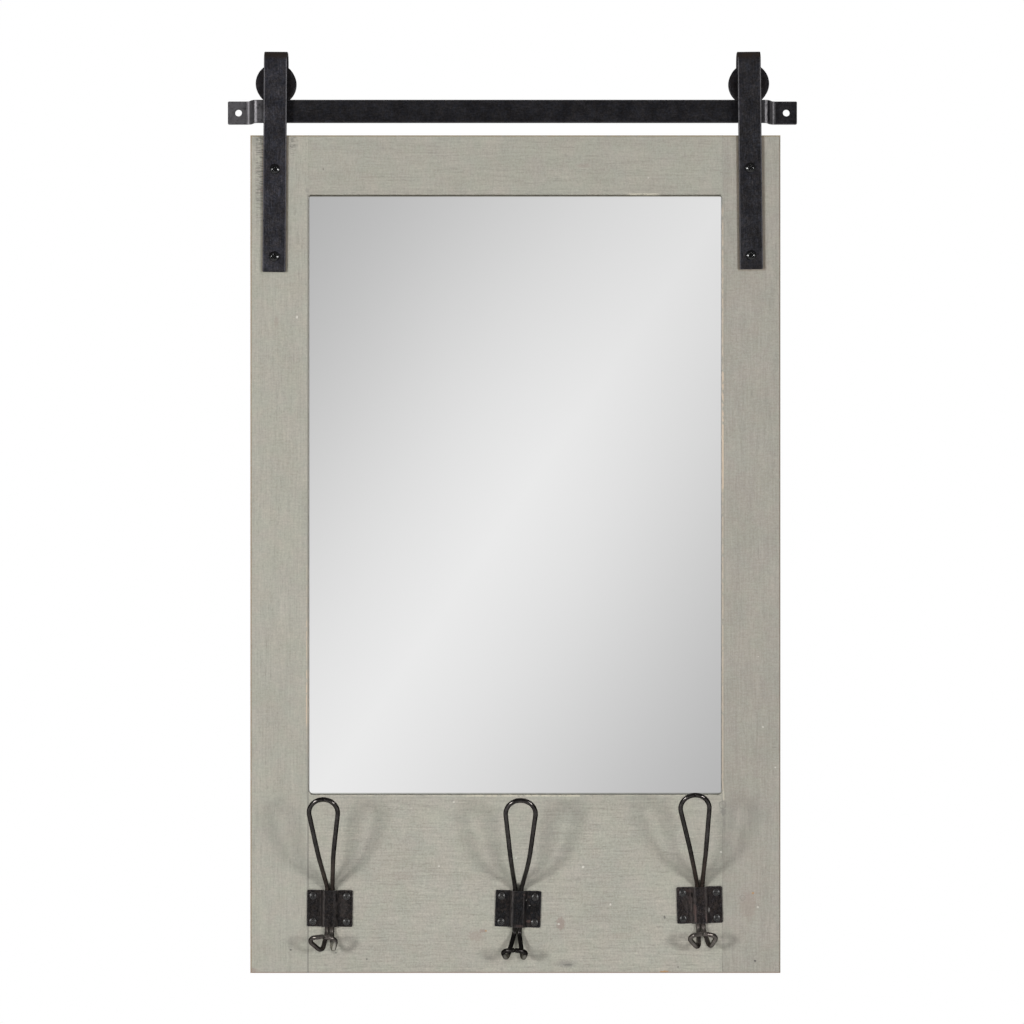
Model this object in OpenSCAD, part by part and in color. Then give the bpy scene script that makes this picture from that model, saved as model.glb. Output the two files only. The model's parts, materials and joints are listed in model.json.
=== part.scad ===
// Wall mirror in a painted wooden frame with three wire coat hooks. It hangs
// from a flat steel bar by two strap hangers with grooved wheels.
// X runs to the viewer's right, +Y points into the wall and +Z up. The origin is
// midway between the two wall screw holes, on the wall plane.

/* [Rail] */
// Overall length of the bar
rail_len = 497; // [480:1:520]
// Height of the flat bar
rail_h = 20; // [18:1:22]
// Thickness of the flat bar
rail_t = 3; // [2.5:0.5:4]
// Distance from the wall to the back of the bar
rail_standoff = 11; // [10:0.5:12]
// Distance between the two wall screw holes
hole_spacing = 478.5; // [474:0.5:482]
// Diameter of a wall screw hole
hole_d = 6; // [5:0.5:7]
// Distance from the centre to the bar's left bend
left_jog_x = 225; // [224:0.5:227]
// Distance from the centre to the bar's right bend
right_jog_x = 222; // [221.5:0.5:225]
// Sideways run of each step back to a wall tab
jog_run = 4.2; // [4:0.2:5]

/* [Hangers] */
// Distance from the centre to each strap and wheel
hanger_x = 205.5; // [200:0.5:206]
// Width of the flat strap
strap_w = 20; // [18:1:22]
// Thickness of the flat strap
strap_t = 3; // [2.5:0.5:3]
// Clear gap between the strap's front and rear legs
strap_gap = 14; // [14:0.5:15]
// Height of the top of the strap above the bar's centreline
strap_top = 51.8; // [50:0.2:56]
// Depth of the strap's lower end below the bar's centreline
strap_bottom = 138; // [130:1:150]
// How much further down the left strap reaches
left_strap_extra = 2.4; // [0:0.2:3]
// Outward lean of the left strap about its axle, degrees
left_strap_lean = 0.4; // [0:0.1:1]
// Outward lean of the right strap about its axle, degrees
right_strap_lean = 0.6; // [0:0.1:1]

/* [Wheels] */
// Outer diameter of the wheel's flanges
flange_d = 35; // [33:0.5:36]
// Diameter of the tread that rolls on the bar
tread_d = 27; // [26:0.5:28]
// Width across the flanges
wheel_w = 10; // [9:0.5:10]
// Diameter of the axle
axle_d = 6; // [5:0.5:7]

/* [Panel] */
// Width of the wooden frame
panel_w = 460; // [440:1:480]
// Height of the wooden frame
panel_h = 727; // [720:1:740]
// Thickness of the boards
panel_t = 16; // [15:0.5:16]
// Distance of the frame's top edge below the bar's centreline
panel_drop = 21.6; // [20:0.2:24]
// Sideways shift of the frame against the bar
panel_shift = 2.6; // [0:0.2:4]
// Width of each upright board
stile_w = 50.5; // [48:0.5:56]
// Height of the upper cross board
top_board_h = 51.5; // [48:0.5:56]
// Height of the lower cross board that carries the hooks
bottom_board_h = 154.5; // [150:0.5:160]
// Thickness of the wooden lip in front of the glass
lip_t = 5.5; // [5:0.5:6]
// Width of the rebate that the glass sits in
rebate_w = 8; // [7:0.5:9]
// Radius of the opening's upper corners
opening_top_r = 2; // [1:0.5:4]
// Radius of the opening's lower corners
opening_foot_r = 4; // [1:0.5:6]

/* [Mirror] */
// Thickness of the glass
glass_t = 3; // [3:0.5:4]
// Thickness of the backing board
backing_t = 3; // [2.5:0.5:3]
// Play between the glass and the rebate's wall
glass_play = 1.5; // [1:0.5:2]

/* [Hooks] */
// Diameter of the hook wire
wire_d = 4; // [3.8:0.1:4.2]
// Width of a hook plate
plate_w = 39.6; // [38:0.2:42]
// Height of a hook plate
plate_h = 31.8; // [30:0.2:34]
// Thickness of a hook plate
plate_t = 1.2; // [1:0.1:1.4]
// Reach of the wire loop in front of the wooden frame
loop_reach = 55.5; // [50:0.5:60]

/* [Hidden] */

// Colours: blackened steel, worn greige paint, bare wood, glass, board, rubber.
iron = [0.13, 0.13, 0.15];
screw_iron = [0.10, 0.10, 0.11];
greige = [0.66, 0.65, 0.60];
bare_wood = [0.76, 0.62, 0.45];
silvered = [0.80, 0.82, 0.84];
hardboard = [0.45, 0.33, 0.23];
zinc = [0.70, 0.71, 0.73];
rubber_black = [0.07, 0.07, 0.07];

round_fn = 48;
arc_step = 6;                                   // degrees per facet of a bend
flat_corner_r = 1;                              // corners of the cut flat bar
running_gap = 0.05;                             // radial play of a wheel on its axle
roll_gap = 0.15;                                // air between the tread and the bar
axle_tail_r = axle_d / 2 - 0.5;                 // turned-down end in the rear leg
washer_t = 1;
washer_r = 6.5;
hub_r = 7;
hub_gap = 0.1;                                  // between a hub and its washer

// Depths behind or in front of the wall plane, all along Y.
rail_mid_y = -rail_standoff - rail_t / 2;
strap_back_y = rail_mid_y + strap_gap / 2;      // inner face of the rear leg
strap_front_y = rail_mid_y - strap_gap / 2;     // inner face of the front leg
panel_front_y = strap_front_y;
panel_back_y = panel_front_y + panel_t;
glass_front_y = panel_front_y + lip_t;
backing_front_y = glass_front_y + glass_t;
backing_back_y = backing_front_y + backing_t;

axle_z = rail_h / 2 + tread_d / 2 + roll_gap;
bend_r = strap_gap / 2;                         // inner radius of the strap's top
bend_z = strap_top - bend_r - strap_t;
rear_leg_below = 9.5;                           // rear leg below the axle

// Screws: [head diameter, head height, shank diameter, shank length, recess width]
strap_screw = [8.6, 3.0, 4.0, 15, 1.4];
hook_screw = [6.1, 1.7, 3.0, 12, 1.0];
clip_screw = [5.6, 1.4, 2.8, 9, 0.9];
pilot_ratio = 0.7;                              // pilot hole against the shank
strap_screw_z = [-50.2, -125.9];
left_screw_drop = 1.1;                          // the left strap's screws sit lower

// Frame edges.
panel_x = [panel_shift - panel_w / 2, panel_shift + panel_w / 2];
panel_z = [-panel_drop - panel_h, -panel_drop];
open_x = [panel_x[0] + stile_w, panel_x[1] - stile_w];
open_z = [panel_z[0] + bottom_board_h, panel_z[1] - top_board_h];
outer_ease = 1;                                 // eased outer edges of the boards
inner_ease = 0.1;                               // and those at joints and opening

dowel_d = 8;
dowel_len = 30;
dowel_play = 0.05;
top_dowels_z = [panel_z[1] - 12, panel_z[1] - 30];
bottom_dowels_z = [panel_z[0] + 20, panel_z[0] + 90, panel_z[0] + 130];

clip_w = 14;
clip_t = 1;
clip_foot = 13;
clip_toe = 9;
side_clips_z = [-180, -333, -487];
end_clips_x = [panel_shift - 90, panel_shift + 90];

bumper_d = 18;
bumper_inset = [24, 30];

// Hooks: channel pressed into the plate, and the wire that it holds down.
wire_r = wire_d / 2;
wire_apart = wire_r + 0.15;                     // wire's middle from the channel's middle
wire_out = wire_r + 0.1;                        // wire's middle from the board
channel_out = wire_out + wire_r + 0.1;          // underside of the channel
channel_half_top = 5;
channel_half_foot = 7.1;
plate_corner_r = 1.5;
hook_screw_x = 14.6;
hook_screw_z = [-11.5, 10.6];
hole_slack = 0.25;                              // radial play of a screw in its hole
wire_sides = 12;
wire_steps = 7;                                 // rings in each bend of a wire
wire_end_soft = 0.35;                           // rounding of a wire's cut ends

// The legs leave the channel, lean forward to the knee, then turn up to the loop.
exit_z = 18;
exit_r = 8;
knee_out = 38.5;
knee_r = 45;
loop_r = 12.3;
loop_half = 14.2;                               // to where the loop's straights would meet
// Below the plate the legs bend forward into two ears, whose ends meet in front.
ear_start_z = -21.4;
ear_start_r = 9;
foot_out = 15;
foot_r = 5.5;
corner_out = 25.5;
corner_r = 5;
meet_out = 28.5;
end_gap = 0.5;

// The three hooks are bent by hand, so each has its own small differences:
// [0] middle of the plate [x, z]; [1] tilt, degrees clockwise from the front;
// [2] channel's shift to the right; [3] at the knee: lean to the right, bow of
// the legs, height; [4] loop: lean to the right, height of its top;
// [5] the legs' spread where they leave the channel; [6] lower ears [x, z]: left
// foot, left corner, right corner, right foot and the place where the ends meet.
left_hook = [[-158.4, -692.2], 0.7, 0, [-1.8, -0.5, 50], [-4, 99.6], 0,
             [[-5.3, -35.9], [-18.5, -23], [7.4, -23.4], [3.9, -35.8], [-3, -20.6]]];
centre_hook = [[4.9, -692.6], 1.8, -0.3, [0.4, 1.2, 46], [-0.6, 99.2], 0.5,
               [[-8.4, -42.6], [-13, -33.4], [8.4, -33.4], [5.4, -42.6], [-2, -32]]];
right_hook = [[162.4, -689.3], -1.5, 0.5, [-2.7, -0.4, 52], [-6.3, 100.6], 0,
              [[-2.6, -36.4], [-12.8, -23.6], [13, -23.8], [7.1, -35.6], [0.6, -21]]];

// ---------------------------------------------------------------- geometry

function unit(v) = v / norm(v);

// One rounded corner at b between a and c: a list of [point, direction] along
// an arc of radius r, which touches both straight runs.
function corner(a, b, c, r, steps) =
    let(u = unit(a - b), v = unit(c - b),
        half = acos(max(-1, min(1, u * v))) / 2,
        middle = b + unit(u + v) * r / sin(half),
        start = b + u * r / tan(half),
        e1 = (start - middle) / r,
        turn = 180 - 2 * half)
    [for (k = [0:steps])
        let(t = turn * k / steps)
        [middle + r * (cos(t) * e1 - sin(t) * u), -sin(t) * e1 - cos(t) * u]];

// A run along points p whose inner corners have the radii r.
function bent_path(p, r, steps) =
    let(last = len(p) - 1)
    concat([[p[0], unit(p[1] - p[0])]],
           [for (i = [1:last - 1])
               each corner(p[i - 1], p[i], p[i + 1], r[i - 1], steps)],
           [[p[last], unit(p[last] - p[last - 1])]]);

function left_of(d) = [-d[1], d[0]];

// Outline of a strip of thickness t bent along points p.
function strip_outline(p, r, t, steps) =
    let(path = bent_path(p, r, steps), n = len(path))
    concat([for (q = path) q[0] + left_of(q[1]) * t / 2],
           [for (i = [n - 1:-1:0]) path[i][0] - left_of(path[i][1]) * t / 2]);

// Solid from an outline in (Y, Z) that is extruded along X about x = 0.
module along_x(length) {
    rotate([90, 0, 90]) translate([0, 0, -length / 2]) linear_extrude(length) children();
}

// Solid from an outline in (X, Y) that is extruded up from z0.
module upright(z0, height) {
    translate([0, 0, z0]) linear_extrude(height) children();
}

// Outline in (X, Z) that runs through the whole depth of the object.
module through_y() {
    depth = 100;
    rotate([90, 0, 0]) translate([0, 0, -depth / 2]) linear_extrude(depth) children();
}

// Rectangle with round corners, centred.
module rounded_rect(w, h, r) {
    square([w - 2 * r, h], center = true);
    square([w, h - 2 * r], center = true);
    for (x = [-1, 1], y = [-1, 1])
        translate([x * (w / 2 - r), y * (h / 2 - r)]) circle(r, $fn = 24);
}

// Cylinder along Y from y0 to y1.
module rod_y(x, z, y0, y1, r) {
    translate([x, y0, z]) rotate([y1 > y0 ? -90 : 90, 0, 0])
        cylinder(h = abs(y1 - y0), r = r, $fn = round_fn);
}

// Directions square to a path, carried along it without twisting.
function carried(path) =
    let(d0 = path[0][1],
        n0 = unit(cross(d0, abs(d0[2]) < 0.9 ? [0, 0, 1] : [1, 0, 0])))
    [for (i = 0, n = n0; i < len(path);
          i = i + 1,
          n = i < len(path) ? unit(n - path[i][1] * (n * path[i][1])) : n) n];

// Round wire along a path, with softened ends.
module wire(path, r, sides) {
    n = len(path);
    first = path[0];
    last = path[n - 1];
    soft = wire_end_soft;
    sections = concat([[first[0], first[1], r - soft], [first[0] + first[1] * soft, first[1], r]],
                      [for (i = [1:n - 2]) [path[i][0], path[i][1], r]],
                      [[last[0] - last[1] * soft, last[1], r], [last[0], last[1], r - soft]]);
    m = len(sections);
    normals = carried(sections);
    points = [for (i = [0:m - 1]) each
        [for (k = [0:sides - 1])
            let(a = 360 * k / sides, b = cross(sections[i][1], normals[i]))
            sections[i][0] + sections[i][2] * (cos(a) * normals[i] + sin(a) * b)]];
    walls = [for (i = [0:m - 2], k = [0:sides - 1])
        let(p = i * sides + k, q = i * sides + (k + 1) % sides)
        each [[p, q + sides, q], [p, p + sides, q + sides]]];
    near_end = [for (k = [0:sides - 1]) k];
    far_end = [for (k = [sides - 1:-1:0]) (m - 1) * sides + k];
    polyhedron(points, faces = concat(walls, [near_end, far_end]));
}

// Pan head screw driven towards +Y, its head's underside on y = 0.
module pan_screw(s) {
    head_r = s[0] / 2;
    head_h = s[1];
    crown = head_h * 0.45;
    crown_steps = 5;
    profile = concat([[0, 0], [head_r, 0], [head_r, head_h - crown]],
        [for (k = [1:crown_steps]) let(t = 90 * k / crown_steps)
            [head_r * (0.45 + 0.55 * cos(t)), head_h - crown * (1 - sin(t))]],
        [[0, head_h]]);
    difference() {
        rotate([90, 0, 0]) rotate_extrude($fn = round_fn) polygon(profile);
        for (a = [0, 90])
            rotate([0, a + 20, 0])
                translate([-head_r * 0.5, -head_h - 1, -s[4] / 2])
                    cube([head_r, head_h * 0.6 + 1, s[4]]);
    }
    rotate([-90, 0, 0]) cylinder(h = s[3], r = s[2] / 2, $fn = 24);
}

// ---------------------------------------------------------------- rail

// Flat bar that steps back to the wall at both ends, with a screw hole in each tab.
module rail_bar() {
    wall_y = -rail_t / 2;
    r = rail_t * 1.5;
    end_x = rail_len / 2 + 1;
    plan = [[-end_x, wall_y], [-left_jog_x - jog_run, wall_y], [-left_jog_x, rail_mid_y],
            [right_jog_x, rail_mid_y], [right_jog_x + jog_run, wall_y], [end_x, wall_y]];
    color(iron) difference() {
        intersection() {
            upright(-rail_h, rail_h * 2)
                polygon(strip_outline(plan, [r, r, r, r], rail_t, ceil(70 / arc_step)));
            through_y() rounded_rect(rail_len, rail_h, flat_corner_r);
        }
        for (s = [-1, 1])
            rod_y(s * hole_spacing / 2, 0, -rail_t - 1, 1, hole_d / 2);
    }
}

// ---------------------------------------------------------------- hangers

function screw_heights(side) =
    [for (z = strap_screw_z) z - (side < 0 ? left_screw_drop : 0)];

// Everything that a strap carries turns with it about the axle.
module on_strap(side) {
    lean = side < 0 ? left_strap_lean : -right_strap_lean;
    translate([side * hanger_x, 0, axle_z]) rotate([0, lean, 0])
        translate([0, 0, -axle_z]) children();
}

// Flat strap bent over the wheel, with its front leg down the frame.
module strap(side) {
    rear_y = strap_back_y + strap_t / 2;
    front_y = strap_front_y - strap_t / 2;
    centre_r = bend_r + strap_t / 2;
    top = bend_z + centre_r;
    bottom = strap_bottom + (side < 0 ? left_strap_extra : 0);
    profile = [[rear_y, axle_z - rear_leg_below], [rear_y, top], [front_y, top],
               [front_y, -bottom - 1]];
    nearly = 0.9999;      // keeps a short straight run between the two bends
    color(iron) on_strap(side) difference() {
        intersection() {
            along_x(strap_w + 2)
                polygon(strip_outline(profile, [centre_r * nearly, centre_r * nearly],
                                      strap_t, ceil(90 / arc_step)));
            translate([0, 0, (strap_top - bottom) / 2]) through_y()
                rounded_rect(strap_w, strap_top + bottom, flat_corner_r);
        }
        rod_y(0, axle_z, strap_back_y - 1, strap_back_y + strap_t + 1, axle_tail_r);
        for (z = screw_heights(side))
            rod_y(0, z, strap_front_y - strap_t - 1, strap_front_y + 1,
                  strap_screw[2] / 2 + hole_slack);
    }
}

// Stepped axle: butt-welded to the front leg, riveted over behind the rear leg.
module axle(side) {
    rivet_h = 1.2;
    rivet_r = 4.5;
    tail_y = strap_back_y + strap_t;
    color(iron) on_strap(side) {
        rod_y(0, axle_z, strap_front_y, strap_back_y, axle_d / 2);
        rod_y(0, axle_z, strap_back_y, tail_y, axle_tail_r);
        translate([0, tail_y, axle_z]) rotate([-90, 0, 0])
            cylinder(h = rivet_h, r1 = rivet_r, r2 = rivet_r - 1, $fn = round_fn);
    }
}

// Grooved wheel: two flanges, a tread between them and a hub boss at each face.
module wheel(side) {
    rim = flange_d / 2;
    tread = tread_d / 2;
    half = wheel_w / 2;
    hub_half = strap_gap / 2 - washer_t - hub_gap;
    tread_half = rail_t / 2 + 0.4;
    rim_half = tread_half + 1;
    ease = 0.6;
    bore_r = axle_d / 2 + running_gap;
    profile = [[bore_r, -hub_half], [hub_r, -hub_half], [hub_r + ease, -half],
               [rim - ease, -half], [rim, -half + ease], [rim, -rim_half - 0.3],
               [rim - 0.3, -rim_half], [tread, -tread_half], [tread, tread_half],
               [rim - 0.3, rim_half], [rim, rim_half + 0.3], [rim, half - ease],
               [rim - ease, half], [hub_r + ease, half], [hub_r, hub_half],
               [bore_r, hub_half]];
    color(iron) translate([side * hanger_x, rail_mid_y, axle_z]) rotate([90, 0, 0])
        rotate_extrude($fn = round_fn * 2) polygon(profile);
}

// A thin washer at each side of each wheel.
module wheel_washers() {
    color(zinc) for (side = [-1, 1], face = [strap_front_y, strap_back_y - washer_t])
        translate([side * hanger_x, face, axle_z]) rotate([-90, 0, 0])
            difference() {
                cylinder(h = washer_t, r = washer_r, $fn = round_fn);
                translate([0, 0, -1])
                    cylinder(h = washer_t + 2, r = axle_d / 2 + 0.1, $fn = round_fn);
            }
}

module strap_screws(side) {
    color(screw_iron) on_strap(side) for (z = screw_heights(side))
        translate([0, strap_front_y - strap_t, z]) pan_screw(strap_screw);
}

// Pilot holes for the screws of one strap.
module strap_pilots(side) {
    on_strap(side) for (z = screw_heights(side))
        rod_y(0, z, panel_front_y - 1, panel_front_y - strap_t + strap_screw[3],
              strap_screw[2] / 2 * pilot_ratio);
}

// ---------------------------------------------------------------- wooden frame

// Section of a board from a to b across, with its two front edges eased by ea, eb.
function board_section(a, b, ea, eb) =
    [[a, panel_back_y], [a, panel_front_y + ea], [a + ea, panel_front_y],
     [b - eb, panel_front_y], [b, panel_front_y + eb], [b, panel_back_y]];

// Cross board between the stiles, from z0 to z1.
module cross_board(z0, z1, e0, e1) {
    section = [for (p = board_section(z0, z1, e0, e1)) [p[1], p[0]]];
    translate([panel_shift, 0, 0]) along_x(open_x[1] - open_x[0]) polygon(section);
}

// Outline of the opening, which is routed through the boards after they are joined.
module opening(r) {
    translate([panel_shift, 0, (open_z[0] + open_z[1]) / 2]) through_y()
        rounded_rect(open_x[1] - open_x[0], open_z[1] - open_z[0], r);
}

// The round corners that the router leaves at one cross board: side is 1 for the upper.
module opening_corners(side) {
    r = side > 0 ? opening_top_r : opening_foot_r;
    z = side > 0 ? open_z[1] - r : open_z[0];
    difference() {
        translate([open_x[0], panel_front_y, z])
            cube([open_x[1] - open_x[0], lip_t, r]);
        opening(r);
    }
}

// The rebate behind the opening, cut from the back of every board.
module rebate() {
    translate([open_x[0] - rebate_w, glass_front_y, open_z[0] - rebate_w])
        cube([open_x[1] - open_x[0] + 2 * rebate_w, panel_t,
              open_z[1] - open_z[0] + 2 * rebate_w]);
}

// Dowel holes, or the dowels themselves, at every joint of the frame.
module dowel_set(r, length) {
    for (x = open_x, z = concat(top_dowels_z, bottom_dowels_z))
        translate([x - length / 2, panel_front_y + panel_t / 2, z]) rotate([0, 90, 0])
            cylinder(h = length, r = r, $fn = round_fn);
}

module dowel_holes() {
    dowel_set(dowel_d / 2 + dowel_play, dowel_len + 1);
}

module stile(side) {
    x0 = side < 0 ? panel_x[0] : open_x[1];
    ease = side < 0 ? [outer_ease, inner_ease] : [inner_ease, outer_ease];
    ends = [for (p = board_section(panel_z[0], panel_z[1], outer_ease, outer_ease))
        [p[1], p[0]]];
    color(greige) difference() {
        intersection() {
            upright(panel_z[0], panel_h)
                polygon(board_section(x0, x0 + stile_w, ease[0], ease[1]));
            along_x(2 * panel_w) polygon(ends);
        }
        rebate();
        dowel_holes();
        strap_pilots(side);
        clip_pilots();
    }
}

module frame_top_rail() {
    color(greige) {
        difference() {
            cross_board(open_z[1], panel_z[1], inner_ease, outer_ease);
            rebate();
            dowel_holes();
            clip_pilots();
        }
        opening_corners(1);
    }
}

module frame_bottom_rail() {
    color(greige) {
        difference() {
            cross_board(panel_z[0], open_z[0], outer_ease, inner_ease);
            rebate();
            dowel_holes();
            clip_pilots();
            for (h = [left_hook, centre_hook, right_hook]) hook_pilots(h);
        }
        opening_corners(-1);
    }
}

module frame_dowels() {
    color(bare_wood) dowel_set(dowel_d / 2, dowel_len);
}

// Sheet that fills the rebate, from y0 for a thickness t.
module rebate_sheet(y0, t) {
    inset = rebate_w - glass_play;
    translate([open_x[0] - inset, y0, open_z[0] - inset])
        cube([open_x[1] - open_x[0] + 2 * inset, t, open_z[1] - open_z[0] + 2 * inset]);
}

module mirror_glass() {
    color(silvered) rebate_sheet(glass_front_y, glass_t);
}

module mirror_backing() {
    color(hardboard) rebate_sheet(backing_front_y, backing_t);
}

// Puts a clip, made along +X from the rebate's wall, at each of its places.
module at_clips() {
    for (z = side_clips_z) {
        translate([open_x[0] - rebate_w, 0, z]) children();
        translate([open_x[1] + rebate_w, 0, z]) rotate([0, 180, 0]) children();
    }
    for (x = end_clips_x) {
        translate([x, 0, open_z[1] + rebate_w]) rotate([0, 90, 0]) children();
        translate([x, 0, open_z[0] - rebate_w]) rotate([0, -90, 0]) children();
    }
}

// Stepped clip: a foot on the frame's back, a toe on the backing board.
module backing_clips() {
    foot_y = panel_back_y + clip_t / 2;
    toe_y = backing_back_y + clip_t / 2;
    step_x = 1.5;
    profile = [[-clip_foot, foot_y], [step_x - 0.6, foot_y], [step_x + 0.6, toe_y],
               [step_x + clip_toe, toe_y]];
    color(zinc) at_clips() difference() {
        upright(-clip_w / 2, clip_w)
            polygon(strip_outline(profile, [clip_t, clip_t], clip_t, 4));
        rod_y(-clip_foot / 2, 0, panel_back_y - 1, panel_back_y + clip_t + 1,
              clip_screw[2] / 2 + hole_slack);
    }
}

module clip_screws() {
    color(zinc) at_clips()
        translate([-clip_foot / 2, panel_back_y + clip_t, 0]) rotate([0, 0, 180])
            pan_screw(clip_screw);
}

module clip_pilots() {
    at_clips() rod_y(-clip_foot / 2, 0, panel_back_y + 1,
                     panel_back_y + clip_t - clip_screw[3],
                     clip_screw[2] / 2 * pilot_ratio);
}

// Two soft pads that keep the frame's lower corners off the wall.
module wall_bumpers() {
    color(rubber_black) for (x = [panel_x[0] + bumper_inset[0], panel_x[1] - bumper_inset[0]])
        translate([x, panel_back_y, panel_z[0] + bumper_inset[1]]) rotate([-90, 0, 0])
            cylinder(h = -panel_back_y, r1 = bumper_d / 2, r2 = bumper_d / 2 - 1,
                     $fn = round_fn);
}

// ---------------------------------------------------------------- hooks

// Places a hook's pieces: in them, -Y comes out of the board and y = 0 is on it.
module at_hook(h) {
    translate([h[0][0], panel_front_y, h[0][1]]) rotate([0, h[1], 0]) children();
}

module each_hook_screw() {
    for (x = [-1, 1], z = hook_screw_z)
        translate([x * hook_screw_x, 0, z]) children();
}

// Pressed plate: flat wings and a raised channel for the two legs of the wire.
module hook_plate(h) {
    wing_y = -plate_t / 2;
    top_y = -channel_out - plate_t / 2;
    r = plate_t;
    section = [[-plate_w, wing_y], [h[2] - channel_half_foot, wing_y],
               [h[2] - channel_half_top, top_y], [h[2] + channel_half_top, top_y],
               [h[2] + channel_half_foot, wing_y], [plate_w, wing_y]];
    color(iron) at_hook(h) difference() {
        intersection() {
            upright(-plate_h, plate_h * 2)
                polygon(strip_outline(section, [r, r, r, r], plate_t, 4));
            through_y() rounded_rect(plate_w, plate_h, plate_corner_r);
        }
        each_hook_screw() rod_y(0, 0, -plate_t - 1, 1, hook_screw[2] / 2 + hole_slack);
    }
}

// The bends of one wire, as [point, radius]: from the end in front, round the
// left ear, up through the channel, over the loop and back down on the right.
function hook_bends(h) =
    let(ear = h[6], exit_x = wire_apart + h[5], rise = h[4][1], knee_z = h[3][2],
        straight = exit_x + (loop_half - exit_x) * (knee_z - exit_z) / (rise - exit_z),
        knee_x = straight + h[3][1])
    [[[ear[4][0] - end_gap / 2, -meet_out, ear[4][1]], 0],
     [[ear[1][0], -corner_out, ear[1][1]], corner_r],
     [[ear[0][0], -foot_out, ear[0][1]], foot_r],
     [[h[2] - wire_apart, -wire_out, ear_start_z], ear_start_r],
     [[h[2] - exit_x, -wire_out, exit_z], exit_r],
     [[h[2] + h[3][0] - knee_x, -knee_out, knee_z], knee_r],
     [[h[2] + h[4][0] - loop_half, -loop_reach, rise], loop_r],
     [[h[2] + h[4][0] + loop_half, -loop_reach, rise], loop_r],
     [[h[2] + h[3][0] + knee_x, -knee_out, knee_z], knee_r],
     [[h[2] + exit_x, -wire_out, exit_z], exit_r],
     [[h[2] + wire_apart, -wire_out, ear_start_z], ear_start_r],
     [[ear[3][0], -foot_out, ear[3][1]], foot_r],
     [[ear[2][0], -corner_out, ear[2][1]], corner_r],
     [[ear[4][0] + end_gap / 2, -meet_out, ear[4][1]], 0]];

module hook_wire(h) {
    bends = hook_bends(h);
    radii = [for (i = [1:len(bends) - 2]) bends[i][1]];
    color(iron) at_hook(h)
        wire(bent_path([for (b = bends) b[0]], radii, wire_steps), wire_r, wire_sides);
}

module hook_screws(h) {
    color(screw_iron) at_hook(h) each_hook_screw()
        translate([0, -plate_t, 0]) pan_screw(hook_screw);
}

module hook_pilots(h) {
    at_hook(h) each_hook_screw()
        rod_y(0, 0, -1, -plate_t + hook_screw[3], hook_screw[2] / 2 * pilot_ratio);
}

// ---------------------------------------------------------------- pieces

rail_bar();
strap(-1);  // left_strap
strap(1);  // right_strap
wheel(-1);  // left_wheel
wheel(1);  // right_wheel
axle(-1);  // left_axle
axle(1);  // right_axle
wheel_washers();
strap_screws(-1);  // left_strap_screws
strap_screws(1);  // right_strap_screws
stile(-1);  // left_stile
stile(1);  // right_stile
frame_top_rail();
frame_bottom_rail();
frame_dowels();
mirror_glass();
mirror_backing();
backing_clips();
clip_screws();
wall_bumpers();
hook_plate(left_hook);  // left_hook_plate
hook_plate(centre_hook);  // centre_hook_plate
hook_plate(right_hook);  // right_hook_plate
hook_wire(left_hook);  // left_hook_wire
hook_wire(centre_hook);  // centre_hook_wire
hook_wire(right_hook);  // right_hook_wire
hook_screws(left_hook);  // left_hook_screws
hook_screws(centre_hook);  // centre_hook_screws
hook_screws(right_hook);  // right_hook_screws
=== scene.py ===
"""The looks of a wall mirror in a painted wooden frame with three wire coat hooks.

Lengths are written in millimetres, in the part's frame: X to the viewer's right,
+Y into the wall, +Z up, with the origin between the two wall screw holes.
"""

import json
import math
from functools import partial

import bmesh
import bpy
from mathutils import Matrix, Vector


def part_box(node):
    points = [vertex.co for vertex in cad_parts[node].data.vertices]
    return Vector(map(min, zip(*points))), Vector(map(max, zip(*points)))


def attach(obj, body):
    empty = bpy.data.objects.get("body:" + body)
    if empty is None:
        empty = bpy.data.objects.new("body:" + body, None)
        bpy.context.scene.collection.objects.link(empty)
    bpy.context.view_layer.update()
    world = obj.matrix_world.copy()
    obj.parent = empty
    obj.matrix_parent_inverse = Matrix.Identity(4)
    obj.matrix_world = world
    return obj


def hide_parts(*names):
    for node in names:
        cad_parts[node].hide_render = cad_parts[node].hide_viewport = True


MM = 0.001
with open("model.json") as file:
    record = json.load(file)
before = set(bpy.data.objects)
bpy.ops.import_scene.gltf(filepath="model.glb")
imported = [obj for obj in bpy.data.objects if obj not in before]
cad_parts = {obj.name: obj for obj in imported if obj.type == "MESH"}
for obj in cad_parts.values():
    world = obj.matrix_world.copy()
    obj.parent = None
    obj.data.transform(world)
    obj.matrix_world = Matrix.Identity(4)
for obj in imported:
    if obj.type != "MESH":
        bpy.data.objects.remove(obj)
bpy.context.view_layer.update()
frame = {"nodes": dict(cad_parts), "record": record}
nodes = frame["nodes"]
record = frame["record"]
scene = bpy.context.scene

# -------------------- sizes


def box_mm(name):
    low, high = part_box(name)
    return low / MM, high / MM


def joint_mm(name):
    """Where a joint's axis passes, as X, Y and Z."""
    places = {row["name"]: row.get("pos_m") for row in record["behaviour"]["joints"]}
    return [value / MM for value in places[name]]


SIDES = {"left": -1, "right": 1}
OPENING_TOP_R = 2                   # radius of the opening's upper corners
OPENING_FOOT_R = 4                  # and of its lower ones
stile_low, stile_high = box_mm("left_stile")
PANEL_X = (stile_low.x, box_mm("right_stile")[1].x)
PANEL_Z = (stile_low.z, stile_high.z)
OPEN_X = (stile_high.x, box_mm("right_stile")[0].x)
OPEN_Z = (box_mm("frame_bottom_rail")[1].z - OPENING_FOOT_R,
          box_mm("frame_top_rail")[0].z + OPENING_TOP_R)
FRONT_Y = stile_low.y
MIDDLE = Vector((0, -10, -348.5))   # what the camera and the lamps aim at

BAR_HALF = box_mm("rail_bar")[1].z  # half the bar's height

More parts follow.
